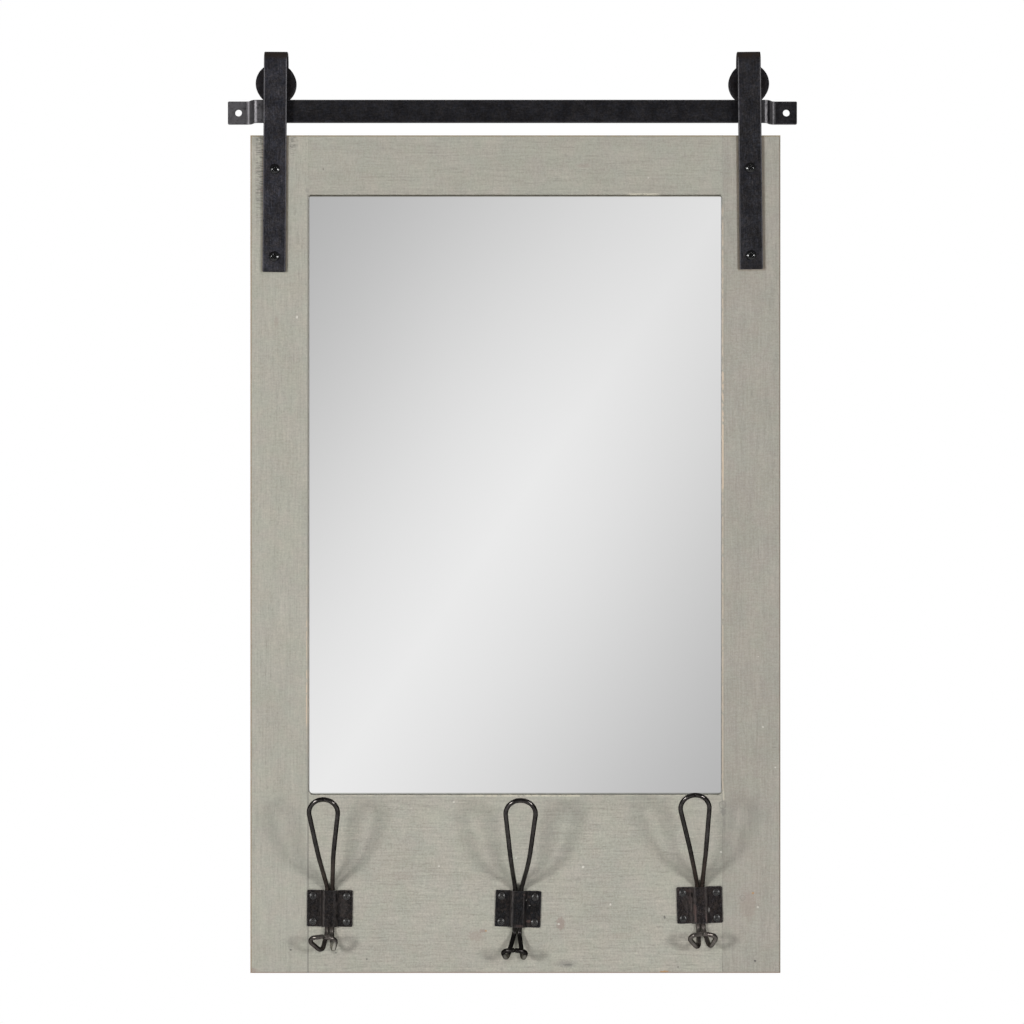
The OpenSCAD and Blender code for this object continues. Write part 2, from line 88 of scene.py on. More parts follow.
# Hangers: the straps lean about their axles.
HANGER_X, _, AXLE_Z = joint_mm("right_wheel_turn")
STRAP_LEAN = {"left": 0.4, "right": -0.6}
STRAP_HALF = 10
STRAP_FRONT_Y = box_mm("left_strap")[0].y
STRAP_SCREWS_Z = {"left": (-51.3, -127.0), "right": (-50.2, -125.9)}

# Hooks. In these values z is measured up from the middle of the plate, and out is
# measured forward from the wood. Each bend of the wire has a place and a radius.
PLATE_HALF = (19.8, 15.9)
PLATE_T = 1.2
WIRE_R = 2
WIRE_APART = WIRE_R + 0.15
WIRE_OUT = WIRE_R + 0.1
WIRE_END = 0.7                      # rounding of the wire's cut ends
EXIT_Z = 18
EXIT_R = 8
KNEE_OUT = 38.5
KNEE_R = 45
LOOP_R = 12.3
LOOP_HALF = 14.2
LOOP_OUT = 55.5
EAR_START_Z = -21.4
EAR_START_R = 9
FOOT_OUT = 15
FOOT_R = 5.5
CORNER_OUT = 25.5
CORNER_R = 5
MEET_OUT = 28.5
END_GAP = 0.5
# knee: lean to the right, bow of the legs, height; loop: lean, height of its top;
# ears: left foot, left corner, right corner, right foot, where the ends meet.
HOOKS = {
    "left": {"at": (-158.4, -692.2), "tilt": 0.7, "shift": 0, "spread": 0,
             "knee": (-1.8, -0.5, 50), "loop": (-4, 99.6),
             "ears": [(-5.3, -35.9), (-18.5, -23), (7.4, -23.4), (3.9, -35.8), (-3, -20.6)]},
    "centre": {"at": (4.9, -692.6), "tilt": 1.8, "shift": -0.3, "spread": 0.5,
               "knee": (0.4, 1.2, 46), "loop": (-0.6, 99.2),
               "ears": [(-8.4, -42.6), (-13, -33.4), (8.4, -33.4), (5.4, -42.6), (-2, -32)]},
    "right": {"at": (162.4, -689.3), "tilt": -1.5, "shift": 0.5, "spread": 0,
              "knee": (-2.7, -0.4, 52), "loop": (-6.3, 100.6),
              "ears": [(-2.6, -36.4), (-12.8, -23.6), (13, -23.8), (7.1, -35.6), (0.6, -21)]},
}

# ---------------------------------------------------------------- shader graphs


class Graph:
    """The nodes of a material or a world. Most methods add a node and return its output."""

    def __init__(self, name, world=False):
        self.owner = (bpy.data.worlds if world else bpy.data.materials).new(name)
        self.owner.use_nodes = True
        self.tree = self.owner.node_tree
        self.tree.nodes.clear()

    def put(self, socket, value):
        """Links a socket, or sets it where the value is a plain one."""
        if isinstance(value, bpy.types.NodeSocket):
            self.tree.links.new(value, socket)
        elif socket.type == "RGBA" and len(value) == 3:
            socket.default_value = (*value, 1.0)
        else:
            socket.default_value = value

    def add(self, kind, inputs=(), **settings):
        node = self.tree.nodes.new("ShaderNode" + kind)
        for key, value in settings.items():
            setattr(node, key, value)
        for key, value in dict(inputs).items():
            self.put(node.inputs[key], value)
        return node

    def place(self):
        """Position on the object in millimetres; it moves with the body."""
        return self.vector("SCALE", self.add("TexCoord").outputs["Object"], scale=1 / MM)

    def normal(self):
        """X, Y and Z of the surface's direction, which also move with the body."""
        return self.axes(self.add("TexCoord").outputs["Normal"])

    def vector(self, operation, a, b=(0, 0, 0), scale=1.0):
        inputs = {0: a, 1: b, 3: scale}
        return self.add("VectorMath", inputs, operation=operation).outputs[0]

    def turned(self, at, centre, degrees):
        """Position about a centre (x, z), in axes turned clockwise as seen from the front."""
        pivot = (centre[0], 0, centre[1])
        inputs = {"Vector": at, "Center": pivot, "Angle": math.radians(-degrees)}
        turn = self.add("VectorRotate", inputs, rotation_type="Y_AXIS")
        return self.vector("SUBTRACT", turn.outputs[0], pivot)

    def axes(self, vector):
        return self.add("SeparateXYZ", {0: vector}).outputs

    def join(self, x, y, z):
        return self.add("CombineXYZ", {0: x, 1: y, 2: z}).outputs[0]

    def length(self, vector):
        return self.add("VectorMath", {0: vector}, operation="LENGTH").outputs[1]

    def math(self, operation, a, b=0.0, c=0.0):
        return self.add("Math", {0: a, 1: b, 2: c}, operation=operation).outputs[0]

    def minus(self, a, b):
        return self.math("SUBTRACT", a, b)

    def chain(self, operation, values):
        result = values[0]
        for value in values[1:]:
            result = self.math(operation, result, value)
        return result

    def total(self, *values):
        return self.chain("ADD", values)

    def product(self, *values):
        return self.chain("MULTIPLY", values)

    def most(self, *values):
        return self.chain("MAXIMUM", values)

    def fade(self, value, low, high):
        """0 at low, 1 at high, and smooth between; low may be the greater."""
        inputs = {"Value": value, "From Min": low, "From Max": high}
        return self.add("MapRange", inputs, interpolation_type="SMOOTHSTEP").outputs[0]

    def band(self, value, low, high, soft):
        """1 from low to high, and 0 beyond them."""
        return self.product(self.fade(value, low - soft, low + soft),
                            self.fade(value, high + soft, high - soft))

    def noise(self, at, size, detail=2.0, roughness=0.5, distortion=0.0):
        """Noise between 0 and 1, whose features are about size wide (one or three)."""
        sizes = size if isinstance(size, tuple) else (size,) * 3
        scaled = self.vector("MULTIPLY", at, tuple(1 / s for s in sizes))
        inputs = {"Vector": scaled, "Scale": 1.0, "Detail": detail,
                  "Roughness": roughness, "Distortion": distortion}
        return self.add("TexNoise", inputs, noise_dimensions="3D").outputs["Fac"]

    def mix(self, factor, a, b, blend="MIX"):
        inputs = {0: factor, 6: a, 7: b}
        return self.add("Mix", inputs, data_type="RGBA", blend_type=blend).outputs[2]

    def over(self, colour, tone, *shares):
        """Colour with a tone over it, by the product of the shares."""
        return self.mix(self.product(*shares), colour, tone)

    def times(self, colour, tone):
        return self.mix(1.0, colour, tone, "MULTIPLY")

    def tint(self, colour, amount):
        """Colour made lighter or darker by the factor amount."""
        return self.times(colour, self.join(amount, amount, amount))

    def around(self, noise, spread):
        """A factor about 1 from a noise: 1 - spread to 1 + spread."""
        return self.math("MULTIPLY_ADD", noise, 2 * spread, 1 - spread)

    def reach(self, at, centre, size, ragged, share):
        """How far out of an upright ellipse on the front a place is: 1 on its outline,
        which the noise ragged shifts by up to half of share."""
        shift = self.vector("SUBTRACT", at, (centre[0], 0, centre[1]))
        scaled = self.vector("MULTIPLY", shift, (1 / size[0], 0, 1 / size[1]))
        rough = self.minus(ragged, 0.5)
        return self.math("MULTIPLY_ADD", rough, share, self.length(scaled))

    def blot(self, at, centre, size, ragged):
        """1 inside an upright ellipse with a ragged rim."""
        return self.fade(self.reach(at, centre, size, ragged, 1.6), 1.25, 0.6)

    def ring(self, at, centre, size, ragged):
        """1 on the outline of an upright ellipse."""
        return self.band(self.reach(at, centre, size, ragged, 0.5), 0.85, 1.1, 0.12)

    def bump(self, height, depth):
        """Relief of depth millimetres where height goes from 0 to 1."""
        inputs = {"Height": height, "Distance": depth * MM, "Strength": 1.0}
        return self.add("Bump", inputs).outputs[0]

    def surface(self, shader):
        self.add("OutputMaterial", {"Surface": shader.outputs[0]})
        return self.owner

    def finish(self, **inputs):
        named = {key.replace("_", " "): value for key, value in inputs.items()}
        return self.surface(self.add("BsdfPrincipled", named))


# -------------------- steel

# The left strap's lighter tone is painted light: it stands for the left lamp's stronger
# reflection.
STRAP_STEEL = {"left": (0.0305, 0.0295, 0.0350), "right": (0.0238, 0.0229, 0.0260)}
BAR_STEEL = (0.0157, 0.0149, 0.0172)
WHEEL_STEEL = (0.0180, 0.0162, 0.0180)
HIGHLIGHT_AND_RUBBED_STEEL = (0.500, 0.480, 0.500)
METAL_SHARE = 0.35                  # the rest is the matt black coat over the steel
BROWN_STEEL = (0.048, 0.037, 0.032)
RUB_AND_HIGHLIGHT = (0.135, 0.118, 0.110)
WARM_STEEL = (1.05, 1.0, 0.93)
COOL_STEEL = (0.95, 1.0, 1.08)
CROWN_RUST = (0.046, 0.034, 0.026)
CROWN_Z = (19, 25)                  # above the axle, where the brown fades in


def dark_steel(name, grain, tone, rough=0.4, rubbed=None, brown=0.0, lay=None,
               detail=None, uneven=1.3):
    """Blackened flat steel. grain gives the size of its streaks along X, Y and Z,
    lay(g, at) turns them another way, rubbed(g, at) gives where it is paler: painted
    highlights on edges and bends, and worn places; brown is the share of brown specks,
    detail(g, at, colour) adds single marks, and uneven is the strength of its fine pattern."""
    g = Graph(name)
    at = g.place()
    along = lay(g, at) if lay else at
    streaks = g.noise(along, grain, detail=3, roughness=0.65)
    patches = g.noise(at, 13, detail=3, roughness=0.55)
    fine = g.noise(at, 0.85, roughness=0.7)
    coarse = g.noise(g.vector("ADD", at, (7, 3, 9)), 2.2, detail=3, roughness=0.6)
    hue = g.noise(g.vector("ADD", at, (50, 20, 80)), 3.5, detail=3, roughness=0.65)
    colour = g.times(tone, g.mix(g.fade(hue, 0.35, 0.65), WARM_STEEL, COOL_STEEL))
    for noise, spread in ((streaks, 0.32 * uneven), (patches, 0.16), (fine, 0.34 * uneven),
                          (coarse, 0.22 * uneven)):
        colour = g.tint(colour, g.around(g.fade(noise, 0.28, 0.72), spread))
    if brown:
        specks = g.noise(g.vector("ADD", at, (31, 17, 5)), 1.5, detail=3, roughness=0.7)
        patchy = g.noise(g.vector("ADD", at, (3, 41, 9)), 7)
        level = g.total(g.product(specks, 0.6), g.product(patchy, 0.4))
        colour = g.over(colour, BROWN_STEEL, g.fade(level, 0.5, 0.62), brown)
    roughness = g.math("MULTIPLY_ADD", g.fade(patches, 0.3, 0.7), 0.14, rough - 0.07)
    # Paler where rubbed gives it: painted highlights on edges and bends, and worn places.
    if rubbed:
        broken = g.fade(g.noise(at, 2.5, detail=3), 0.1, 0.55)
        colour = g.over(colour, HIGHLIGHT_AND_RUBBED_STEEL, rubbed(g, at), broken)
    if detail:
        colour = detail(g, at, colour)
    relief = g.bump(g.total(fine, coarse, g.product(streaks, 0.7)), 0.03)
    return g.finish(Base_Color=colour, Metallic=METAL_SHARE, Specular_IOR_Level=0.15,
                    Roughness=roughness, Normal=relief)


def on_strap(g, at, side):
    """Position across, into and along a strap, from its axle."""
    return g.axes(g.turned(at, (SIDES[side] * HANGER_X, AXLE_Z), STRAP_LEAN[side]))


def strap_edge_highlights_and_wear(side, g, at):
    """The strap's long front edges, paler: a painted highlight, with the black rubbed through.
    """
    x, y, z = on_strap(g, at, side)
    edge = g.band(g.math("ABSOLUTE", x), STRAP_HALF - 0.9, STRAP_HALF - 0.05, 0.15)
    upper = g.math("MULTIPLY_ADD", g.fade(z, -75, -40), 0.10, 0.15)
    in_front = g.fade(y, STRAP_FRONT_Y + 1.5, STRAP_FRONT_Y + 0.7)
    return g.product(edge, in_front, upper)


def strap_rust(side, g, at, colour):
    """Brown on the crown of the strap's bend, above the wheel."""
    _, _, z = on_strap(g, at, side)
    patches = g.fade(g.noise(at, 4, detail=3), 0.2, 0.5)
    return g.over(colour, CROWN_RUST, g.fade(z, *CROWN_Z), patches, 0.9)


# Painted highlights across the bar: from, to (X), and how pale; the bends and the left tab.
BAR_HIGHLIGHTS = [(-249, -231, 0.16), (-231, -229.3, 1), (-229.2, -226.8, 0.2),
            (-226.8, -225, 0.12), (-224.4, -221.8, 0.48), (-221.8, -218, 0.22),
            (-218, -213, 0.11), (216.6, 218.4, 0.06), (218.4, 219.6, 0.12),
            (219.6, 221.9, 0.45), (224, 227, 0.18), (227, 228.3, 0.62),
            (228.3, 230, 0.12)]


def bar_highlights(g, at):
    """Painted highlights on the bar's long edges, its bends and its left tab."""
    x, y, z = g.axes(at)
    edge = g.band(g.math("ABSOLUTE", z), BAR_HALF - 0.7, BAR_HALF - 0.05, 0.15)
    paler = g.product(edge, 0.11)
    for low, high, share in BAR_HIGHLIGHTS:
        paler = g.most(paler, g.product(g.band(x, low, high, 0.35), share))
    off_wall = g.fade(y, 0.5, -0.8)
    return g.product(paler, off_wall)


def turned_lay(side, g, at):
    """The lathe's marks on a wheel: rings about its axle."""
    centred = g.vector("SUBTRACT", at, (SIDES[side] * HANGER_X, 0, AXLE_Z))
    _, y, _ = g.axes(centred)
    flat = g.vector("MULTIPLY", centred, (1, 0, 1))
    return g.join(g.length(flat), y, 0.0)


PLATE_STEEL = {"left": (0.0168, 0.0146, 0.0142), "centre": (0.0126, 0.0122, 0.0130),
               "right": (0.0236, 0.0196, 0.0194)}
PLATE_SCREW_TONE = (0.0110, 0.0100, 0.0100)
STRAP_SCREW_TONE = (0.0030, 0.0030, 0.0034)
SCREW_EDGE_HIGHLIGHT_AND_WEAR = (0.21, 0.20, 0.19)
PALE = (0.30, 0.285, 0.27)
RUDDY = (0.115, 0.075, 0.068)
PIT_AND_SHADE = (0.004, 0.004, 0.004)

# Painted highlights down each plate, where its channel bends: place (x), half width, strength.
PLATE_HIGHLIGHT_LINES = {
    "left": [(-8.2, 0.45, 0.3), (-6.3, 0.9, 0.32), (-5.2, 0.8, 0.4), (3.9, 0.8, 0.14),
             (6.3, 0.9, 0.42)],
    "centre": [(-6.3, 0.9, 0.38), (-4.8, 0.9, 0.3), (4.9, 0.7, 0.2), (6.3, 0.9, 0.2)],
    "right": [(-8, 0.8, 0.22), (-6.3, 1.1, 0.62), (-4.4, 1.4, 0.32), (5, 0.7, 0.3),
              (6.3, 0.9, 0.4)],
}
# Dents and worn places of each plate: colour, place [x, z], half sizes, strength.
# The black mark down the centre plate's channel is painted shade on its right slope, and
# the pale spot by the left plate's upper left screw is a painted glint.
PLATE_MARKS = {
    "left": [(PIT_AND_SHADE, (5.9, 10), (0.8, 4.4), 0.9), (PIT_AND_SHADE, (6.4, -6.5), (1, 1.7), 0.85),
             (PALE, (-13.6, 9.9), (0.8, 0.9), 0.9), (RUB_AND_HIGHLIGHT, (12, 1.5), (3.4, 9), 0.16)],
    "centre": [(PIT_AND_SHADE, (6.8, 5), (1, 9), 0.7), (PALE, (6.9, 7.7), (0.5, 0.6), 0.9),
               (PALE, (9.9, 3.1), (0.7, 0.45), 0.6), (RUDDY, (9.6, -10.6), (2.2, 1.3), 0.6),
               (RUDDY, (1.5, -14.5), (3.6, 1.2), 0.35), (RUDDY, (5.2, 12.6), (0.9, 0.8), 0.6)],
    "right": [(PIT_AND_SHADE, (-6.6, 8.9), (0.8, 2.3), 0.95), (RUDDY, (-4.4, -3.5), (1.5, 5), 0.6),
              (RUB_AND_HIGHLIGHT, (-11.5, 3), (3, 8), 0.12),
              (RUDDY, (-8.6, 12.6), (3.4, 1.6), 0.3), (RUDDY, (-8, 5), (2, 5), 0.18),
              (RUDDY, (-3.9, -11.5), (0.9, 3.6), 0.6), (PALE, (7.7, -4.4), (0.8, 2.1), 1),
              (RUDDY, (5.4, -11), (0.8, 3.4), 0.45)],
}


def on_hook(g, at, key):
    """Position from the middle of a hook's plate."""
    return g.turned(at, HOOKS[key]["at"], HOOKS[key]["tilt"])


def plate_rims(key, g, at):
    """The rims of a plate, where it is worn a little."""
    x, _, z = g.axes(on_hook(g, at, key))
    rims = [g.band(g.math("ABSOLUTE", value), half - 0.7, half - 0.1, 0.15)
            for value, half in zip((x, z), PLATE_HALF)]
    return g.product(g.most(*rims), 0.035)


def plate_marks_and_highlights(key, g, at, colour):
    """A plate's painted highlight lines, its dents and worn places, and painted shade and a
    painted glint.
    """
    place = on_hook(g, at, key)
    x, _, _ = g.axes(place)
    broken = g.fade(g.noise(at, (1.2, 1.2, 3.5), detail=3, roughness=0.7), 0.3, 0.6)
    for centre, half, share in PLATE_HIGHLIGHT_LINES[key]:
        line = g.band(x, centre - half, centre + half, 0.3)
        colour = g.over(colour, RUB_AND_HIGHLIGHT, line, broken, share)
    ragged = g.noise(at, 0.9)
    for tone, centre, size, share in PLATE_MARKS[key]:
        colour = g.over(colour, tone, g.blot(place, centre, size, ragged), share)
    return colour


# Worn places of each wire: place on its ear [x, z], size, and how bright.
EAR_WEAR = {
    "left": [((4.1, -31.5), (3.2, 6.4), 1)],
    "centre": [((-8.8, -39.5), (2.8, 3.2), 0.35), ((6.2, -39.5), (2.8, 3.2), 0.45)],
    "right": [((-7.5, -29.5), (4.5, 5.5), 0.1), ((10, -29.5), (4, 5.5), 0.1)],
}
LOOP_TONE = (0.068, 0.062, 0.059)   # bare and oiled, where straps have polished it
LEG_TONE = {"left": (0.046, 0.036, 0.030), "centre": (0.027, 0.024, 0.022),
            "right": (0.038, 0.028, 0.023)}
EAR_TONE = {"left": (0.092, 0.081, 0.074), "centre": (0.022, 0.020, 0.019),
            "right": (0.112, 0.098, 0.089)}
WIRE_EDGE = (0.12, 0.12, 0.12)      # how little it shows at grazing angles
BRIGHT_WIRE = (0.50, 0.48, 0.42)
LOOP_Z = (36, 62)                   # heights between which the loop's bare metal fades in
EAR_Z = (-14, -20)                  # and the ears' colour, below the plate
EAR_METAL_Z = (-18, -24)
EAR_FRONT_OUT = (8, 13)             # how far out from the wood the ears' worn places start


def wire_steel(key):
    """Drawn wire: dark bare metal round the loop, and under a brown coat on the legs and
    ears, where some of it is worn to bright metal. Its sides, and the loop's undersides,
    carry painted shade."""
    g = Graph(key + "_wire_steel")
    at = g.place()
    place = on_hook(g, at, key)
    drawn = g.noise(at, (0.6, 0.6, 9), detail=3, roughness=0.6)
    patches = g.noise(at, 6, detail=3, roughness=0.6)
    fine = g.noise(at, 0.6, roughness=0.7)
    _, _, height = g.axes(place)
    bare = g.fade(height, *LOOP_Z)
    colour = g.mix(bare, LEG_TONE[key], LOOP_TONE)
    colour = g.mix(g.fade(height, *EAR_Z), colour, EAR_TONE[key])
    colour = g.tint(colour, g.around(g.fade(patches, 0.3, 0.7), 0.3))
    colour = g.tint(colour, g.around(g.fade(drawn, 0.3, 0.7), 0.3))
    # Painted shade: darker on the wire's sides, and on the loop's undersides.
    across, _, up = g.normal()
    dull = g.total(g.product(g.fade(across, 0.2, 0.85), 0.55),
                   g.product(g.fade(across, -0.55, -0.95), 0.35),
                   g.product(g.fade(up, -0.02, -0.35), bare, 0.42))
    colour = g.tint(colour, g.minus(1.08, dull))
    _, y, _ = g.axes(at)
    forward = g.fade(y, *(FRONT_Y - out for out in EAR_FRONT_OUT))
    spots = [g.product(g.blot(place, centre, size, patches), forward, share)
             for centre, size, share in EAR_WEAR[key]]
    colour = g.mix(g.most(*spots), colour, BRIGHT_WIRE)
    metal = g.total(0.25, g.product(bare, 0.75), g.product(g.fade(height, *EAR_METAL_Z), 0.6))
    roughness = g.math("MULTIPLY_ADD", g.fade(patches, 0.3, 0.7), 0.09, 0.11)
    relief = g.bump(g.total(fine, drawn), 0.006)
    return g.finish(Base_Color=colour, Metallic=metal, Specular_IOR_Level=0.25,
                    Specular_Tint=WIRE_EDGE, Roughness=roughness, Normal=relief)


def coated_screw(name, tone, rough, worn):
    """Screw in a black coat. Its steep faces, the rim and the walls of its cross, are painted
    grey in broken patches by the share worn: a painted highlight, with some rubbing."""
    g = Graph(name)
    at = g.place()
    fine = g.noise(at, 0.9, detail=3, roughness=0.7)
    steep = g.fade(g.math("ABSOLUTE", g.normal()[1]), 0.93, 0.75)
    broken = g.fade(g.noise(at, 1.6), 0.3, 0.55)
    uneven = g.fade(g.noise(g.vector("ADD", at, (5, 0, 2)), 12, detail=1), 0.25, 0.55)
    colour = g.tint(tone, g.around(fine, 0.5))
    # Painted highlight on the steep faces.
    colour = g.over(colour, SCREW_EDGE_HIGHLIGHT_AND_WEAR, steep, broken, uneven, worn)
    roughness = g.math("MULTIPLY_ADD", fine, 0.1, rough - 0.05)
    return g.finish(Base_Color=colour, Roughness=roughness, Normal=g.bump(fine, 0.02 * rough))


ZINC = (0.56, 0.57, 0.585)
DULL_ZINC = (0.30, 0.29, 0.27)


def zinc_plating():
    g = Graph("zinc_plate")
    at = g.place()
    spangle = g.noise(at, 2.2, distortion=0.6)
    fine = g.noise(at, 0.5)
    dull = g.noise(at, 11, detail=3)
    colour = g.tint(ZINC, g.around(g.fade(spangle, 0.3, 0.7), 0.12))
    colour = g.over(colour, DULL_ZINC, g.fade(dull, 0.55, 0.72), 0.5)
    roughness = g.math("MULTIPLY_ADD", g.fade(dull, 0.3, 0.7), 0.22, 0.3)
    return g.finish(Base_Color=colour, Metallic=1.0, Roughness=roughness,
                    Normal=g.bump(g.total(spangle, fine), 0.015))


# -------------------- wood

PAINT = (0.418, 0.403, 0.347)
# Each board: how its paint is toned, the way its grain runs, and how roughly it was sawn.
# The tones carry painted shade: the right stile and the top rail are darker, as the light falls.
BOARDS = {
    "left_stile": ((0.975, 0.975, 0.975), "Z", 0.9),
    "right_stile": ((0.876, 0.858, 0.868), "Z", 0.9),
    "frame_top_rail": ((0.925, 0.925, 0.925), "X", 0.9),
    "frame_bottom_rail": ((0.985, 0.985, 0.985), "X", 1.2),
}
PINK_PAINT = (1.016, 0.994, 1.0)
GREEN_PAINT = (0.984, 1.005, 0.995)
WARM_PAINT = (1.004, 1.0, 0.978)
COOL_PAINT = (1.000, 1.0, 0.998)
PORE = (0.245, 0.235, 0.205)
PINK = (0.325, 0.258, 0.222)
ORANGE = (0.47, 0.265, 0.10)
WHITE = (0.68, 0.66, 0.60)
CREAM = (0.66, 0.62, 0.50)
TAN = (0.66, 0.53, 0.40)
DARK = (0.12, 0.115, 0.105)
SHADE = (0.27, 0.262, 0.232)
BARE = (0.46, 0.315, 0.175)
BARE_DARK = (0.30, 0.185, 0.095)

# A dark place and a knot across the joint below the opening's right corner.
CORNER_SHADE = (SHADE, (183.3, -608.6), (2.4, 3.8), 0.75)
CORNER_KNOT = ((182.4, -602.7), (2.8, 3.5), 0.85)

# Marks in the paint of each board: colour, place [x, z], half sizes, strength.
MARKS = {
    "left_stile": [
        (WHITE, (-186.9, -179.3), (0.9, 1.3), 0.9), (DARK, (-192.4, -728.5), (1.3, 0.8), 0.8),
        (PINK, (-216.4, -69.1), (3, 2), 0.6), (PINK, (-225, -746.5), (3.5, 2.5), 0.6),
        (SHADE, (-224.5, -26), (4, 5), 0.45), (SHADE, (-178, -69.5), (1.7, 2), 0.5),
        (PINK, (-205, -183), (2.2, 5), 0.35), (DARK, (-190.8, -25.9), (1.5, 2.2), 0.45),
        (DARK, (-192.6, -31), (0.8, 1.1), 0.5),
    ],
    "right_stile": [
        CORNER_SHADE, (SHADE, (184, -618), (1.2, 6), 0.3),
        (PINK, (204.5, -690), (7.8, 12.5), 0.4), (CREAM, (183.2, -594.5), (0.9, 5.5), 0.6),
        (DARK, (182.3, -743), (0.5, 4.5), 0.45),
        (ORANGE, (208.8, -679.1), (1.1, 1), 0.85), (WHITE, (213.4, -474), (0.6, 0.6), 0.6),
        (WHITE, (217.4, -535), (0.8, 0.8), 0.75), (WHITE, (228.1, -570), (0.7, 0.7), 0.7),
        (DARK, (227.8, -552.7), (2.4, 0.5), 0.3),
        (WHITE, (213.1, -691.2), (0.9, 1), 0.65), (DARK, (210.5, -738.1), (1, 1), 1),
    ],
    "frame_bottom_rail": [
        (PINK, (42, -705.5), (3.8, 6), 0.75), (WHITE, (40.1, -706), (1, 0.9), 0.8),
        (PINK, (-25.5, -712), (3.2, 1.8), 0.75), (PINK, (-32, -716.5), (7, 4.5), 0.4),
        (ORANGE, (-22.9, -712), (0.8, 0.7), 0.7),
        (SHADE, (46.5, -740.7), (9, 3.2), 0.62), (DARK, (48.5, -741.3), (4, 0.9), 0.55),
        (WHITE, (-50.7, -600.1), (0.9, 0.8), 0.8), (WHITE, (-63.7, -655.7), (0.8, 0.8), 0.8),
        (WHITE, (3.1, -648.7), (0.8, 0.8), 0.6), (WHITE, (61.3, -656.5), (1.1, 1), 0.9),
        (WHITE, (85.1, -689.1), (0.9, 0.9), 0.9), (WHITE, (181, -643.5), (1, 0.9), 0.9),
        (DARK, (-126.2, -736.3), (0.7, 0.7), 0.8), (DARK, (-153.1, -731.1), (0.8, 0.6), 0.8),
        (DARK, (132, -699.9), (0.9, 1.5), 0.8), (DARK, (143.7, -743.3), (0.7, 0.9), 0.7),
        (PINK, (96, -716), (9, 3), 0.2), CORNER_SHADE,
        (ORANGE, (132, -747.5), (4, 1.2), 0.8), (PINK, (-96, -664), (8, 3.5), 0.2),
    ],
    "frame_top_rail": [
        (DARK, (-164, -50.9), (0.8, 1.2), 0.5), (PINK, (62, -48), (7, 2), 0.25),
        (WHITE, (118, -58.5), (0.8, 0.8), 0.5), (SHADE, (-70, -37), (5, 0.8), 0.25),
    ],
}

# Knots that show as rings: place [x, z], half sizes, strength.
KNOTS = {
    "right_stile": [CORNER_KNOT, ((199.7, -683.2), (2.2, 2.4), 0.85),
                    ((200.3, -439.3), (2.6, 2.8), 0.4)],
    "frame_bottom_rail": [CORNER_KNOT],
}

# How far the painted contact shadow reaches from each strap's left and right edge.
STRAP_SHADOW_REACH = {"left": (1.5, 1.7), "right": (2.4, 4.0)}
# Tone the paint is multiplied by in the painted shadow.
STRAP_SHADOW_TONE = (0.70, 0.635, 0.585)

# Wear along the panel's outer edges: axis, which edge, colour, and how much of it.
EDGE_WEAR = [
    ("x", 0, (0.37, 0.235, 0.13), 0.62), ("x", 1, (0.27, 0.22, 0.165), 0.62),
    ("z", 0, (0.33, 0.225, 0.165), 0.66), ("z", 1, (0.44, 0.325, 0.16), 0.55),
]


# Saw cuts in the left board, outside its strap and, fewer, inside it.
SAW_OUTSIDE_X = (-222.6, -214.6)
SAW_INSIDE_X = (-193.5, -187.5)


def saw_marks(g, at):
    """Short level saw cuts down the left board, by the hanger."""
    x, _, z = g.axes(at)
    cuts = g.noise(g.vector("ADD", at, (0, 0, 0.7)), (4.5, 60, 0.62), detail=1)
    column = g.band(x, *SAW_OUTSIDE_X, 1.2)
    reach = g.fade(z, -132, -55)
    clumps = g.product(g.fade(g.noise(at, 3.2), 0.48, 0.6), g.fade(z, -38, -26))
    beside = g.product(g.band(x, *SAW_INSIDE_X, 1.5), g.fade(z, -46, -30), 0.7)
    fine_cuts = g.product(g.fade(cuts, 0.46, 0.6), g.most(g.product(column, reach), beside))
    return g.most(fine_cuts, g.product(clumps, column))


def bare_wood(g, lengthways, across=1.0):
    """Colour of planed wood with its grain along the third axis of lengthways."""
    rings = g.noise(lengthways, (4.5 * across, 4.5 * across, 120), detail=3, distortion=0.5)
    fibre = g.noise(lengthways, (0.5, 0.5, 16), roughness=0.6)
    colour = g.mix(g.fade(rings, 0.38, 0.68), BARE, BARE_DARK)
    return g.tint(colour, g.around(fibre, 0.28)), fibre


def brushed_paint(g, colour, at, lengthways, sawn):
    """The paint's uneven hue and the grain that shows through it, with their relief."""
    streaks = g.noise(lengthways, (1.5, 1.5, 30), detail=4, roughness=0.65)
    broad = g.noise(lengthways, (9, 9, 150), detail=3)
    pores = g.noise(lengthways, (0.95, 0.95, 8), roughness=0.6)
    weave = g.noise(at, 1.6, detail=3, roughness=0.7)
    hatch = g.noise(lengthways, (7, 7, 1.2), roughness=0.6)
    clouds = g.noise(at, 42, detail=3, roughness=0.55)
    hue = g.noise(g.vector("ADD", at, (70, 0, 30)), 16, detail=3, roughness=0.6)
    warmth = g.noise(g.vector("ADD", at, (20, 0, 90)), 24, detail=4, roughness=0.65)
    for noise, low, high in ((hue, PINK_PAINT, GREEN_PAINT), (warmth, WARM_PAINT, COOL_PAINT)):
        colour = g.times(colour, g.mix(g.fade(noise, 0.35, 0.65), low, high))
    for noise, spread in ((streaks, 0.27 * sawn), (broad, 0.07), (clouds, 0.09),
                          (weave, 0.30 * sawn), (hatch, 0.14)):
        colour = g.tint(colour, g.around(noise, spread))
    opened = g.fade(pores, 0.56, 0.74)
    colour = g.over(colour, PORE, opened, 0.42 * sawn)
    height = g.total(streaks, g.product(weave, 0.5), g.product(opened, -0.6))
    return colour, g.bump(height, 0.13)


